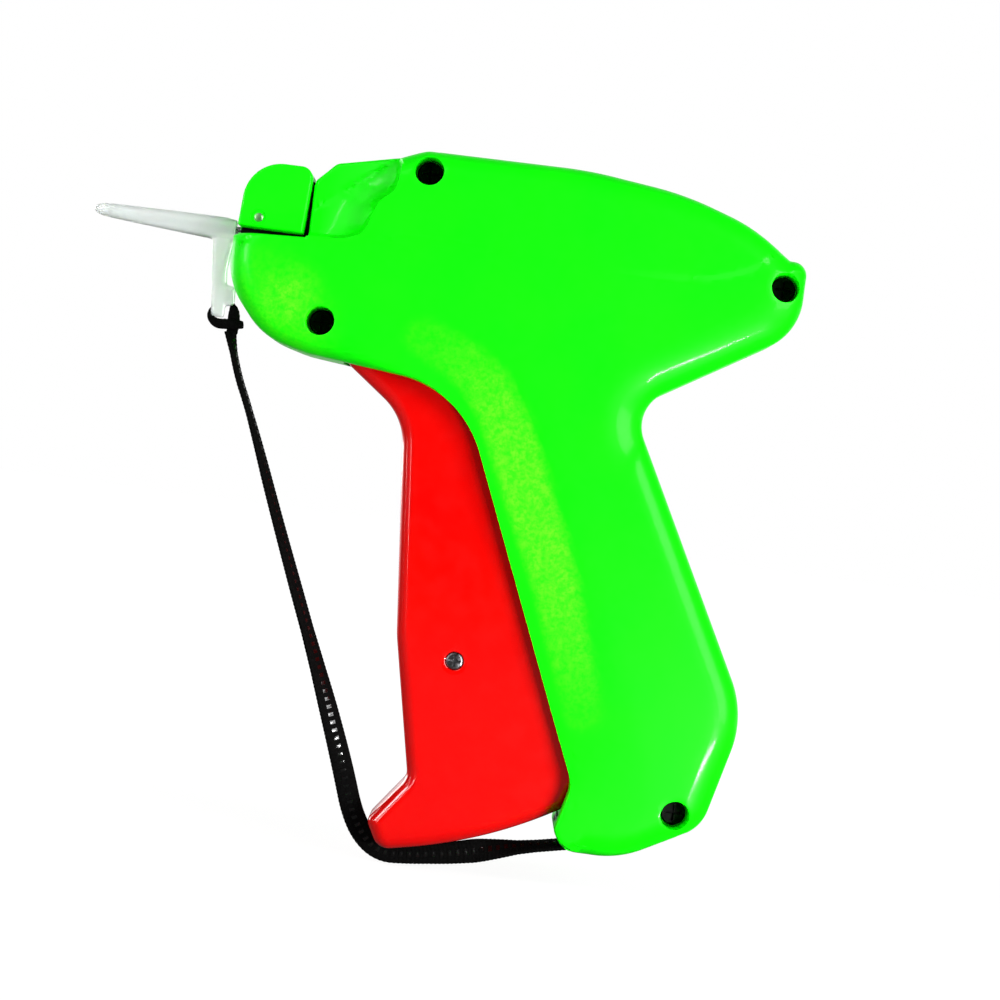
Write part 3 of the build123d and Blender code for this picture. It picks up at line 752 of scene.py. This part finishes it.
def band_drop(points):
    """Fall of the sloped band along the grip's front."""
    x, z = casing_loop.T
    front = casing_loop[(x > BAND_X[0]) & (x < BAND_X[1]) & (z < BAND_TOP)
                        & (casing_owner >= CHIN_CORNER) & (casing_owner <= WINDOW_LAST)]
    gap, nearest = distance(points, front, closed=False)
    at = front[nearest]
    amount = smooth(at[:, 0], *BAND_START) * (1 - BAND_END_FADE * smooth(-at[:, 1], *BAND_END))
    reach = BAND_WIDTH - BAND_EDGE
    rear, slope = tan(BAND_SLOPE_REAR), tan(BAND_SLOPE_FRONT)
    share = np.clip((BAND_WIDTH - gap) / reach, 0, 1)
    fall = reach * (rear * share + (slope - rear) * share ** 2 / 2)
    edge = np.clip(BAND_EDGE - gap, 0, BAND_EDGE)
    return amount * (fall + slope * edge + BAND_CURL * edge ** 2.5)


def crease_drop(points):
    """The lower part of the casing's side lies a little deeper than the part above the crease."""
    gap, nearest = distance(points, crease_line, closed=False)
    at = crease_line[nearest]
    along = np.gradient(crease_line, axis=0)[nearest]
    below = along[:, 0] * (points[:, 1] - at[:, 1]) - along[:, 1] * (points[:, 0] - at[:, 0]) < 0
    share, faint, deep = CREASE_SHARES
    x = at[:, 0]
    depth = CREASE_DEPTH * (share + faint * smooth(x, *CREASE_FAINT) + deep * smooth(x, *CREASE_DEEP))
    return np.where(below, depth * (1 - smooth(gap, 0.0, CREASE_FADE)), 0.0)


def scoop_height(points):
    """The thumb scoop: a floor that rises in a hollow curve to the rim behind it."""
    gap, _ = distance(points, scoop_line, closed=False)
    rim_x = np.interp(points[:, 1], scoop_line[:, 1], scoop_line[:, 0])
    run = np.maximum(rim_x - SCOOP_RISE_START, SCOOP_RUN)
    across = np.clip((points[:, 0] - SCOOP_RISE_START) / run, 0, 1)
    floor = SCOOP_FLOOR + SCOOP_RISE * across ** 1.5
    return np.minimum(floor + round_drop(gap, SCOOP_FOOT, HALF - floor), HALF)


def crown_width():
    """The width of the rounding at each point of the crowned line: small beside the trigger."""
    x = crowned_line[:, 0]
    amount = np.where(crowned_owner == CHIN_CORNER, smooth(x, *CHIN_BLEND), 0.0)
    beside_window = (crowned_owner >= WINDOW_FIRST) & (crowned_owner <= WINDOW_LAST)
    amount = np.where(beside_window, 1.0, amount)
    amount = np.where(crowned_owner == TOE_CORNER, 1 - smooth(x, *TOE_BLEND), amount)
    return CROWN + (WINDOW_CROWN - CROWN) * amount


def casing_outer(points, left):
    """How far the outer face is from the middle plane at each point."""
    edge, nearest = distance(points, crowned_line, closed=False)
    width = crown_width()[nearest]
    height = HALF - round_drop(edge, width, width)
    tail = casing_loop[(casing_owner >= TAIL_FIRST) & (casing_owner <= TAIL_LAST)
                       & (casing_loop[:, 0] > TAIL_START)]
    edge, _ = distance(points, tail, closed=False)
    height = np.minimum(height, HALF - round_drop(edge, TAIL_CROWN, CROWN))
    height = np.minimum(height, HALF - band_drop(points)) - crease_drop(points)
    hollow = inside(points, scoop_loop)
    height = np.where(hollow, np.minimum(height, scoop_height(points)), height)
    rim, _ = distance(points, open_line, closed=False)
    height -= round_drop(rim, RIM_ROUND, RIM_ROUND)
    if left:
        for place in SCREWS:
            gap = near(points, place)
            height = np.where(gap < BORE_RADIUS + 0.01, BORE_SEAT,
                              height - round_drop(gap - BORE_RADIUS, BORE_LIP, BORE_LIP))
    return height


def casing_inner(points, outer):
    """How far the inner face is from the middle plane: 0 where the halves meet."""
    x, z = points.T
    edge, _ = distance(points, casing_loop)
    deep = np.minimum(CAVITY_HALF, outer - SKIN)
    height = np.where(edge > WALL, WINDOW_HALF, 0.0)
    height = np.where(edge > WALL + CAVITY_SHELF, np.maximum(deep, WINDOW_HALF), height)
    height = np.where(inside(points, scoop_loop) | (x < SOLID_FRONT), 0.0, height)
    opened = inside(points, window_loop) & (near(points, PIVOT) < WINDOW_REACH)
    height = np.where(opened, WINDOW_HALF, height)
    height = np.where((x > SLOT_FRONT) & (x < SLOT_REAR + HALF_STRIP), SLOT_HALF, height)
    mouth = (x > MOUTH_START) & (x < MOUTH_END) & (abs(z - MOUTH_Z) < MOUTH_HALF_Z)
    height = np.where(mouth & (edge < MOUTH_REACH), np.maximum(height, MOUTH_HALF_Y), height)
    for place in SCREWS:
        height = np.where(near(points, place) < POST_RADIUS, 0.0, height)
    return np.minimum(height, outer - LIP)


def casing_half(name, side):
    """One half of the casing: side is -1 for the left one and 1 for the right one."""
    left = side < 0
    depths = ring_depths(CROWN, 10) + [WALL - HALF_STRIP, WALL + HALF_STRIP]
    features = list(beside(scoop_line, STRIP)) + list(beside(crease_line, CREASE_HALF))
    holes = []
    for place in SCREWS:
        if left:
            holes.append(circle(place, SCREW_HOLE, 32))
            for radius in (BORE_RADIUS, BORE_RADIUS + 0.02, BORE_RADIUS + BORE_LIP * 0.35,
                           BORE_RADIUS + BORE_LIP):
                features.append(ring(place, radius, 49))
        features += [ring(place, radius, 40) for radius in (POST_RADIUS, POST_RADIUS + STRIP)]
    if not left:
        holes.append(circle(KNOB, KNOB_HOLE, 40))
    flat, faces = plate_net(casing_loop, depths, holes, features, GRID_STEP)
    outer = casing_outer(flat, left)
    inner = casing_inner(flat, outer)
    vertices, polygons = plate_side(flat, faces, outer, inner, side, seam=SEAM)
    piece = mesh_object(name, vertices, polygons)
    places = np.array([tuple(v.co / MM) for v in piece.data.vertices])
    # The attribute carries the matte grain and the painted highlight that the green material reads.
    field = piece.data.attributes.new("grain_and_highlight", "FLOAT", "POINT")
    field.data.foreach_set("value", grain_and_highlight_amount(places[:, [0, 2]]).astype(np.float32))
    return piece


def grain_and_highlight_amount(points):
    """How matte and grained the casing is at each point, and how strongly a paler highlight is painted
    there, from 0 to 1.
    """
    line = sampled(GRAIN_AND_HIGHLIGHT_LINE, 1.5)
    gap, nearest = distance(points, line[:, :2], closed=False)
    half, strength = line[nearest, 2:].T
    amount = strength * (1 - smooth(gap, half - GRAIN_AND_HIGHLIGHT_EDGE, half + GRAIN_AND_HIGHLIGHT_EDGE))
    for x, z, radius, spot in GRAIN_AND_HIGHLIGHT_SPOTS:
        amount = np.maximum(amount, spot * (1 - smooth(near(points, (x, z)), 0.0, 2 * radius)))
    return amount


dress(casing_half("casing_left", -1), "root", "green_abs", "left_shell")
dress(casing_half("casing_right", 1), "root", "green_abs", "right_shell")


# ---- nose block

def nose_block():
    """The block over the slot, with a dimple round its rivet."""
    loop, _ = rounded(BLOCK_CORNERS, 0.7)
    features = [ring(RIVET, radius, 33) for radius in (RIVET_DIMPLE - 0.03, RIVET_DIMPLE + 0.03)]
    flat, faces, outer = round_plate(loop, ring_depths(BLOCK_EDGE, 6), features, 1.2, BLOCK_HALF,
                                     BLOCK_EDGE)
    outer = np.where(near(flat, RIVET) < RIVET_DIMPLE, BLOCK_HALF - DIMPLE_DEPTH, outer)
    return mirrored_plate("nose_block_body", flat, faces, outer, np.zeros(len(flat)))


# Dark plates in the nose's slots, put there as painted shade.
SHADE_PLATE_INNER, SHADE_PLATE_OUTER = 1.9, 2.2
SHADE_PLATE_UPRIGHT = [(13.8, 0.2, 0.1), (15.6, 0.2, 0.1), (15.7, 12.4, 0.1), (14.6, 13.0, 0.1)]
SHADE_PLATE_LEVEL = [(0.2, -1.8, 0.1), (14.6, -0.8, 0.1), (14.6, 0.8, 0.1), (0.2, 0.9, 0.1)]


def slot_shade_plates():
    """Thin dark plates behind the slots round the nose block: painted shade that keeps the slots black.
    """
    sides = []
    for corners in (SHADE_PLATE_UPRIGHT, SHADE_PLATE_LEVEL):
        flat, faces = plate_net(rounded(corners, 1.0)[0], [], [], [], 1.5)
        outer, inner = (np.full(len(flat), y) for y in (SHADE_PLATE_OUTER, SHADE_PLATE_INNER))
        sides += [plate_side(flat, faces, outer, inner, side) for side in (-1, 1)]
    return mesh_object("slot_shade_plates", *join_sides(sides))


dress(nose_block(), "root", "green_abs", "nose_block")
# Painted shade: dark plates that keep the nose's slots black.
dress(slot_shade_plates(), "root", "dark_steel")


# ---- trigger

def off_pivot(reach, angle, run=0.0):
    """The place at a reach and an angle from the trigger's pivot, moved by a run across that."""
    return (PIVOT[0] + reach * cos(angle) + run * sin(angle),
            PIVOT[1] + reach * sin(angle) - run * cos(angle))


def trigger_corners():
    """The trigger's corners: its front, the bowed end round its pivot, and its rear."""
    middle, half = (TRIGGER_TOE + TRIGGER_HEEL) / 2, (TRIGGER_HEEL - TRIGGER_TOE) / 2
    bow = (TRIGGER_REACH + HEEL_REACH) / 2 / cos(half)
    return TRIGGER_FRONT + [
        (*off_pivot(TRIGGER_REACH, TRIGGER_TOE, TOE_RUN), TOE_ROUND),
        (*off_pivot(bow, middle), 0.9 * TRIGGER_REACH),
        (*off_pivot(HEEL_REACH, TRIGGER_HEEL, -HEEL_RUN), HEEL_ROUND),
    ] + TRIGGER_REAR


def trigger():
    """The hollow trigger, with a recess for its screw and a boss behind it."""
    loop, owner = rounded(trigger_corners(), 0.8)
    front = np.vstack((loop[owner == owner.max()], loop[owner <= len(TRIGGER_FRONT) + 2]))
    depths = ring_depths(TRIGGER_ROUND, 10) + [TRIGGER_WALL - STRIP, TRIGGER_WALL + STRIP]
    features = [ring(TRIGGER_SCREW, radius, 41) for radius in (
        TRIGGER_SCREW_RECESS, TRIGGER_SCREW_RECESS + 0.04, TRIGGER_SCREW_RECESS + RECESS_LIP,
        BOSS_RADIUS, BOSS_RADIUS + STRIP)]
    holes = [circle(TRIGGER_SCREW, TRIGGER_SCREW_HOLE, 32), circle(PIVOT, PIVOT_HOLE, 32)]
    flat, faces = plate_net(loop, depths, holes, features, GRID_STEP)
    edge, _ = distance(flat, front, closed=False)
    outer = TRIGGER_HALF - round_drop(edge, TRIGGER_ROUND, TRIGGER_ROUND)
    gap = near(flat, TRIGGER_SCREW)
    outer = np.where(gap < TRIGGER_SCREW_RECESS + 0.01, TRIGGER_HALF - 1,
                     outer - round_drop(gap - TRIGGER_SCREW_RECESS, RECESS_LIP, RECESS_LIP))
    inner = np.where(edge > TRIGGER_WALL, TRIGGER_HALF - TRIGGER_WALL, 0.0)
    inner = np.where(near(flat, PIVOT) < HUB_RADIUS, 0.0, inner)
    sides = []
    for side, boss in BOSS_HEIGHTS:
        reach = np.where(gap < BOSS_RADIUS + 0.02, boss, inner)
        sides.append(plate_side(flat, faces, outer, np.minimum(reach, outer - LIP), side,
                                hollow=False))
    return mesh_object("trigger_body", *join_sides(sides))


dress(trigger(), "trigger", "red_abs", "trigger")


# ---- strap

def strap_line():
    """Points read from the route's NURBS spline, in metres."""
    curve = bpy.data.curves.new("route", "CURVE")
    curve.dimensions = "3D"
    curve.resolution_u = 40
    spline = curve.splines.new("NURBS")
    spline.points.add(len(STRAP_ROUTE) - 1)
    for point, (x, z) in zip(spline.points, STRAP_ROUTE):
        point.co = (x * MM, 0.0, z * MM, 1.0)
    spline.order_u = 3
    spline.use_endpoint_u = True
    holder = placed("route", curve)
    mesh = bpy.data.meshes.new_from_object(holder)
    points = np.array([tuple(v.co) for v in mesh.vertices])
    bpy.data.objects.remove(holder)
    bpy.data.meshes.remove(mesh)
    return points


def webbing(centres, twists, half_width, half_thick):
    """Vertices in millimetres and faces of flat webbing along a line of points in millimetres.

    twists, half_width and half_thick give a value at each point. Ribs cross the webbing, its
    edges are slightly scalloped and a row of stitches runs along each side's middle."""
    along = np.gradient(centres, axis=0)
    along /= np.linalg.norm(along, axis=1)[:, None]
    travel = travelled(centres)
    level = np.array((0.0, 1.0, 0.0))
    turned = np.cross(along, level)
    twist = np.radians(twists)[:, None]
    across = np.cos(twist) * level + np.sin(twist) * turned
    thick = np.cross(along, across)
    angles = 2 * pi * np.arange(STRAP_AROUND) / STRAP_AROUND
    u = np.sign(np.cos(angles)) * np.abs(np.cos(angles)) ** 0.7
    v = np.sign(np.sin(angles)) * np.abs(np.sin(angles)) ** 0.6
    rib = np.cos(2 * pi * (travel[:, None] / RIB_PITCH + 0.5 * np.abs(u) * np.sign(v)))
    stitch = np.clip(np.cos(2 * pi * travel / STITCH_PITCH), 0, 1)[:, None] ** 0.5
    wide = half_width[:, None] - EDGE_DEPTH * (1 - rib) / 2
    middle = np.clip(1 - (np.abs(u) * wide / STITCH_HALF) ** 2, 0, 1)
    high = half_thick[:, None] - RIB_DEPTH * (1 - rib) + STITCH_HEIGHT * stitch * middle
    offsets = across[:, None] * (u * wide)[..., None] + thick[:, None] * (v * high)[..., None]
    vertices = (centres[:, None] + offsets).reshape(-1, 3)
    return [tuple(v) for v in vertices], sleeve(len(centres), STRAP_AROUND)


def yarn_faces(piece, travel):
    """Gives the crests of the middle row the second material."""
    crest = np.cos(2 * pi * travel / STITCH_PITCH) > STITCH_CREST
    for face in piece.data.polygons:
        row, k = divmod(min(face.vertices), STRAP_AROUND)
        around = abs(cos(2 * pi * (k + 0.5) / STRAP_AROUND))
        if crest[min(row, len(crest) - 1)] and around < STITCH_REACH:
            face.material_index = 1


def strap():
    """The webbing from the cap's leg round the trigger's toe to the grip's toe."""
    centres, travel = even_path(strap_line(), STRAP_STEP * MM)
    travel = travel / MM
    twists = np.interp(travel, *zip(*STRAP_TWIST))
    width = STRAP_WIDTH / 2 * np.interp(travel, *zip(*STRAP_WIDTHS))
    thick = np.full(len(travel), STRAP_THICKNESS / 2)
    vertices, faces = webbing(centres / MM, twists, width, thick)
    piece = mesh_object("strap_webbing", vertices, faces, sharp=70.0)
    piece.data.materials.append(MATERIALS["black_webbing"])
    piece.data.materials.append(MATERIALS["black_yarn"])
    yarn_faces(piece, travel)
    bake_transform(piece)
    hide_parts("strap")


# Two lengths of webbing in the knot: x, y, z, half width, half thickness and twist at each point
KNOT_UPRIGHT = [
    (0.8, 0.0, -23.8, 1.15, 0.7, 70.0), (1.0, -0.2, -21.8, 1.35, 0.8, 80.0),
    (1.0, -0.5, -19.6, 1.45, 0.85, 88.0), (0.8, -0.6, -17.6, 1.15, 0.8, 88.0),
    (0.2, -0.4, -16.4, 0.55, 0.6, 88.0),
]
KNOT_TAIL = [
    (3.1, -0.7, -20.6, 0.95, 0.9, 80.0), (1.6, -1.3, -20.8, 1.15, 0.9, 84.0),
    (-0.6, -1.2, -20.9, 1.2, 0.8, 88.0), (-2.6, -0.8, -21.1, 1.15, 0.75, 88.0),
    (-4.3, -0.6, -19.9, 0.8, 0.7, 88.0), (-4.5, -0.5, -18.4, 0.5, 0.55, 88.0),
    (-3.9, -0.4, -16.9, 0.1, 0.25, 88.0),
]
KNOT_STEP = 0.15


def knot():
    """The strap's end, tied round the cap's leg."""
    sides = []
    for route in (KNOT_UPRIGHT, KNOT_TAIL):
        path = sampled(route, KNOT_STEP)
        sides.append(webbing(path[:, :3], path[:, 5], path[:, 3], path[:, 4]))
    return mesh_object("knot_webbing", *join_sides(sides), sharp=70.0)


# ---- needle cap

# Sections of the sheath: x, lowest z, highest z, half width
CAP_SECTIONS = [
    (-1.1, -2.9, 2.3, 2.25), (-3.5, -2.75, 2.68, 2.3), (-8.0, -2.35, 2.7, 2.2),
    (-16.0, -1.75, 2.65, 1.95), (-24.0, -1.15, 2.55, 1.75), (-29.0, -0.7, 2.45, 1.6),
    (-31.2, -0.4, 2.3, 1.45), (-32.3, 0.0, 1.95, 1.1), (-32.85, 0.45, 1.5, 0.65),
    (-32.98, 0.8, 1.15, 0.2),
]
CAP_LEG = [
    (-6.1, -1.5, 0.3), (-4.2, -19.4, 0.6), (-1.4, -19.6, 0.6), (-1.4, -16.8, 0.2),
    (0.6, -16.8, 0.3), (0.35, -12.6, 0.3), (-1.7, -12.2, 0.4), (-2.0, -9.0, 3.0),
    (-1.15, -1.5, 0.3),
]
CAP_LEG_HALF = 1.7
CAP_VOXEL = 0.22
CAP_BORE_REAR, CAP_BORE_TIP = 1.55, 1.15
CAP_BORE_START, CAP_BORE_END = 3.0, -30.5
CAP_BORE_Z = (0.4, 0.75)
CAP_LEG_ROUND = 0.4
RING_COUNT = 48
RING_ANGLES = [2 * pi * k / RING_COUNT for k in range(RING_COUNT)]


def lathe(name, profile, place):
    """A turned piece on an axis along Y: profile is (radius, y) from its first end to its last."""
    vertices = [(place[0] + radius * cos(angle), y, place[1] + radius * sin(angle))
                for radius, y in profile for angle in RING_ANGLES]
    return mesh_object(name, vertices, sleeve(len(profile), RING_COUNT))


def tube(name, sections, power=2.4):
    """A closed form along X through superellipse sections."""
    rows = np.array(sections, float)
    places = np.linspace(0, len(rows) - 1, (len(rows) - 1) * 6 + 1)
    rows = np.stack([np.interp(places, range(len(rows)), column) for column in rows.T], axis=1)
    vertices = []
    for x, low, high, half in rows:
        for angle in RING_ANGLES:
            u = abs(cos(angle)) ** (2 / power) * (1 if cos(angle) > 0 else -1)
            v = abs(sin(angle)) ** (2 / power) * (1 if sin(angle) > 0 else -1)
            vertices.append((x, half * u, (low + high) / 2 + v * (high - low) / 2))
    return mesh_object(name, vertices, sleeve(len(rows), RING_COUNT))


def settle(piece, modifier):
    """Applies a piece's one modifier."""
    graph = bpy.context.evaluated_depsgraph_get()
    mesh = bpy.data.meshes.new_from_object(piece.evaluated_get(graph))
    piece.modifiers.remove(modifier)
    piece.data = mesh


def cut(piece, tool):
    """Takes one form away from another."""
    modifier = piece.modifiers.new("cut", "BOOLEAN")
    modifier.operation = "DIFFERENCE"
    modifier.solver = "EXACT"
    modifier.object = tool
    settle(piece, modifier)
    bpy.data.objects.remove(tool)


def needle_cap():
    """The sheath and its leg, grown together, with the bore for the needle."""
    sheath = tube("cap_body", CAP_SECTIONS)
    flat, faces, outer = round_plate(rounded(CAP_LEG, 0.5)[0], [], [], 0.8, CAP_LEG_HALF, CAP_LEG_ROUND)
    leg = mirrored_plate("cap_leg", flat, faces, outer, np.zeros(len(flat)))
    both = bmesh.new()
    both.from_mesh(sheath.data)
    both.from_mesh(leg.data)
    both.to_mesh(sheath.data)
    both.free()
    bpy.data.objects.remove(leg)
    merge = sheath.modifiers.new("merge", "REMESH")
    merge.mode = "VOXEL"
    merge.voxel_size = CAP_VOXEL * MM
    settle(sheath, merge)
    soften = sheath.modifiers.new("soften", "SMOOTH")
    soften.factor = 0.5
    soften.iterations = 6
    settle(sheath, soften)
    bore = []
    for x, z, radius in ((CAP_BORE_START, CAP_BORE_Z[0], CAP_BORE_REAR),
                         (CAP_BORE_END, CAP_BORE_Z[1], CAP_BORE_TIP)):
        bore.append((x, z - radius, z + radius, radius))
    cut(sheath, tube("cap_bore", bore, power=2.0))
    shade(sheath.data, sharp=50)
    return sheath


dress(needle_cap(), "needle_cap", "milky_cap", "needle_cap")
dress(knot(), "needle_cap", "black_webbing", "strap_knot")
strap()


# ---- rivet, screw and knob

RIVET_DOME = [(0.15, -7.38), (0.45, -7.36), (0.75, -7.3), (0.98, -7.2), (1.08, -7.08), (1.1, -6.9)]


def rivet():
    """The nose block's rivet, domed at both ends."""
    far = [(radius, -y) for radius, y in reversed(RIVET_DOME)]
    return lathe("block_rivet", RIVET_DOME + far, RIVET)


TRIGGER_SCREW_END = 7.7
CROSS_REACH, CROSS_HALF, CROSS_DEPTH, CROSS_RISE, CROSS_BEVEL = 1.25, 0.2, 0.55, 0.25, 0.05
SCREW_DOME, SCREW_ROUND = 0.28, 0.3


def cross_loop(place, reach, half):
    """The outline of a cross recess."""
    corners = [(half, reach), (half, half), (reach, half)]
    for _ in range(3):
        corners += [(z, -x) for x, z in corners[-3:]]
    return np.array(corners) + np.array(place)


def screw_head(name, place, radius, top, under, shank, end):
    """A domed cross-recess screw: its head faces -Y, with its shank behind it."""
    loop = circle(place, radius, 48)
    cross = cross_loop(place, CROSS_REACH, CROSS_HALF)
    wide = cross_loop(place, CROSS_REACH + CROSS_BEVEL, CROSS_HALF + CROSS_BEVEL)
    features = [np.vstack((line, line[:1])) for line in (cross, wide)]
    features += [ring(place, shank, 32), ring(place, shank + 0.04, 32)]
    flat, faces = plate_net(loop, [0.03, 0.1, 0.22, 0.4], [], features, 0.3)
    gap = near(flat, place)
    outer = top - SCREW_DOME * (gap / radius) ** 2 - round_drop(radius - gap, SCREW_ROUND, SCREW_ROUND)
    outer = np.where(inside(flat, wide) & ~inside(flat, cross), outer - 0.04, outer)
    sunk = top - CROSS_DEPTH + CROSS_RISE * np.clip(gap / CROSS_REACH, 0, 1)
    outer = np.where(distance(flat, cross)[0] < 0.01, np.minimum(outer, sunk + 0.2), outer)
    outer = np.where(inside(flat, cross) | (distance(flat, cross)[0] < 0.005), sunk, outer)
    inner = np.where(gap < shank + 0.02, -end, under)
    vertices, polygons = plate_side(flat, faces, outer, inner, -1)
    return mesh_object(name, vertices, polygons, sharp=30.0)


KNOB_RADIUS = 4.5
KNOB_LOW, KNOB_HIGH = 14.3, 16.0
KNOB_RIDGES, KNOB_RIDGE_DEPTH, KNOB_POINTS = 20, 0.16, 160
KNOB_EDGE = 0.45
KNOB_SLOT_HALF, KNOB_SLOT_DEPTH, KNOB_SLOT_REACH, KNOB_SLOT_STEP = 0.6, 0.85, 5.0, 0.08
KNOB_STEM, KNOB_STEM_END = 2.0, 3.0


def knob():
    """The ridged lock knob, with a slot across its face and a stem behind it."""
    angles = np.linspace(0, 2 * pi, KNOB_POINTS, endpoint=False)
    radius = KNOB_RADIUS - KNOB_RIDGE_DEPTH * (1 - np.abs(np.cos(angles * KNOB_RIDGES / 2)))
    loop = np.array(KNOB) + radius[:, None] * np.stack((np.cos(angles), np.sin(angles)), axis=1)
    x, z = KNOB
    walls = [np.array([(x - KNOB_SLOT_REACH, z + s * w), (x + KNOB_SLOT_REACH, z + s * w)])
             for s in (-1, 1) for w in (KNOB_SLOT_HALF, KNOB_SLOT_HALF + KNOB_SLOT_STEP)]
    walls = [sampled([line[0], line.mean(axis=0), line[1]], 0.5) for line in walls]
    walls = [line[inside(line, loop)] for line in walls]
    stems = [ring(KNOB, r, 33) for r in (KNOB_STEM, KNOB_STEM + STRIP)]
    flat, faces, outer = round_plate(loop, [0.05, 0.15, 0.3, KNOB_EDGE], walls + stems, 0.6, KNOB_HIGH,
                                     KNOB_EDGE)
    outer = np.where(abs(flat[:, 1] - z) < KNOB_SLOT_HALF + 0.03, KNOB_HIGH - KNOB_SLOT_DEPTH, outer)
    inner = np.where(near(flat, KNOB) < KNOB_STEM + 0.02, KNOB_STEM_END, KNOB_LOW)
    vertices, polygons = plate_side(flat, faces, outer, inner, 1)
    return mesh_object("lock_knob", vertices, polygons, sharp=30.0)


dress(rivet(), "root", "rivet_metal", "nose_block_pin")
screw = screw_head("trigger_screw_head", TRIGGER_SCREW, TRIGGER_SCREW_HEAD, TRIGGER_HALF - 0.15,
                   TRIGGER_HALF - 1, 1.5, TRIGGER_SCREW_END)
dress(screw, "trigger", "dark_steel", "trigger_screw")
screw.data.materials[0] = MATERIALS["screw_nickel"]
dress(knob(), "needle_lock_knob", "red_abs", "needle_lock_knob")
paint_nodes()


# ---- stage, lamps and camera

FLOOR_GLOW = 0.91
FLOOR_REACH = (0.15, 0.6)
FLOOR_START, FLOOR_FULL = 0.1, 0.6
FLOOR_GAP = 0.3
FLOOR_GREY = 0.14
FLOOR_HALF = 6.0
WORLD_LIGHT = 0.2
ROOM_LIGHT = 0.03
BACKDROP_START, BACKDROP_FULL = 0.45, 0.95


def mapped(tree, value, start, full, low=0.0, soft=False):
    """low up to start and 1 from full on, with a slope or an S curve between them."""
    node = add_node(tree, "MapRange", Value=value, From_Min=start, From_Max=full, To_Min=low)
    if soft:
        node.interpolation_type = "SMOOTHSTEP"
    return node.outputs[0]


def place_axis(tree, output):
    """The Y coordinate of a kind of texture coordinate, and the whole coordinate."""
    place = add_node(tree, "TexCoord").outputs[output]
    return add_node(tree, "SeparateXYZ", Vector=place).outputs["Y"], place


def between(tree, amount, low, high):
    """low where amount is 0 and high where it is 1; low and high are numbers or sockets."""
    return add_node(tree, "MapRange", Value=amount, To_Min=low, To_Max=high).outputs[0]


def rays(tree):
    """The kinds of ray, and whether one comes from the camera, straight or through the cap."""
    path = add_node(tree, "LightPath").outputs
    return path, combined(tree, "MAXIMUM", path["Is Camera Ray"], path["Is Transmission Ray"])


def floor():
    """A pale floor that keeps the shadow; the camera sees it glow white further away."""
    floor_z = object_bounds()[0].z - FLOOR_GAP * MM
    corners = [(-1, -1), (1, -1), (1, 1), (-1, 1)]
    mesh = bpy.data.meshes.new("floor")
    mesh.from_pydata([(x * FLOOR_HALF, y * FLOOR_HALF, floor_z) for x, y in corners], [],
                     [(0, 1, 2, 3)])
    piece = placed("floor", mesh)
    material, tree, shader = tree_of("floor", Roughness=0.9, Specular_IOR_Level=0.0,
                                     Base_Color=grey(FLOOR_GREY), Emission_Color=grey(1.0))
    path, seen = rays(tree)
    y, place = place_axis(tree, "Object")
    behind = mapped(tree, y, FLOOR_START, FLOOR_FULL)
    mirrored = combined(tree, "MULTIPLY", path["Is Glossy Ray"], behind)
    seen = combined(tree, "MAXIMUM", seen, mirrored)
    length = add_node(tree, "VectorMath", Vector=place)
    length.operation = "LENGTH"
    glow = mapped(tree, length.outputs["Value"], *FLOOR_REACH, low=FLOOR_GLOW, soft=True)
    wire(tree, shader, Emission_Strength=between(tree, seen, 0.0, glow))
    mesh.materials.append(material)
    piece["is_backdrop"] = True


def world():
    """Plain soft light, seen as a white backdrop; reflections see it white behind the object."""
    studio = bpy.data.worlds.new("studio")
    studio.use_nodes = True
    bpy.context.scene.world = studio
    tree = studio.node_tree
    path, seen = rays(tree)
    y, _ = place_axis(tree, "Generated")
    behind = mapped(tree, y, BACKDROP_START, BACKDROP_FULL, low=ROOM_LIGHT, soft=True)
    strength = between(tree, path["Is Glossy Ray"], between(tree, seen, WORLD_LIGHT, 1.0), behind)
    wire(tree, tree.nodes["Background"], Strength=strength, Color=grey(1.0))


# Name, place, the point it faces, width and height in mm, and power in W
LAMPS = [
    ("key", (860, -700, 190), (60, 0, -45), 640, 640, 13.0),
    ("fill", (-480, -760, 700), (60, 0, -45), 600, 600, 2.4),
    ("side", (-488, -642, -40), (70, 0, -60), 20, 520, 1.1),
    ("rim", (-755, -206, -20), (70, 0, -60), 16, 520, 0.8),
    ("streak", (186, -166, -128), (110, 0, -18), 60, 9, 0.42),
    ("cap_fill", (-190, -170, 20), (-10, 0, -6), 60, 60, 0.24),
    ("back", (-760, 760, 190), (60, 0, -45), 640, 640, 9.0),
]


def lamp(name, place, aim, width, height, power):
    """A rectangular lamp that faces a point."""
    light = bpy.data.lights.new(name, "AREA")
    light.shape = "RECTANGLE"
    light.size = width * MM
    light.size_y = height * MM
    light.energy = power
    holder = placed(name, light)
    holder.location = Vector(place) * MM
    look = (Vector(aim) - Vector(place)).normalized()
    holder.rotation_euler = look.to_track_quat("-Z", "Y").to_euler()


def camera():
    """The photograph's view, rolled as the photograph is."""
    data = bpy.data.cameras.new("camera")
    data.lens = LENS
    data.sensor_width = SENSOR
    data.clip_start = 0.01
    holder = placed("camera", data)
    right = Vector((cos(ROLL), 0, sin(ROLL)))
    up = Vector((-sin(ROLL), 0, cos(ROLL)))
    back = Vector((0, -1, 0))
    place = (Vector(AIM) + back * CAMERA_DISTANCE) * MM
    matrix = Matrix((right, up, back)).transposed().to_4x4()
    holder.matrix_world = Matrix.Translation(place) @ matrix
    bpy.context.scene.camera = holder


floor()
world()
for row in LAMPS:
    lamp(*row)
camera()
bpy.context.scene.view_settings.view_transform = "Standard"
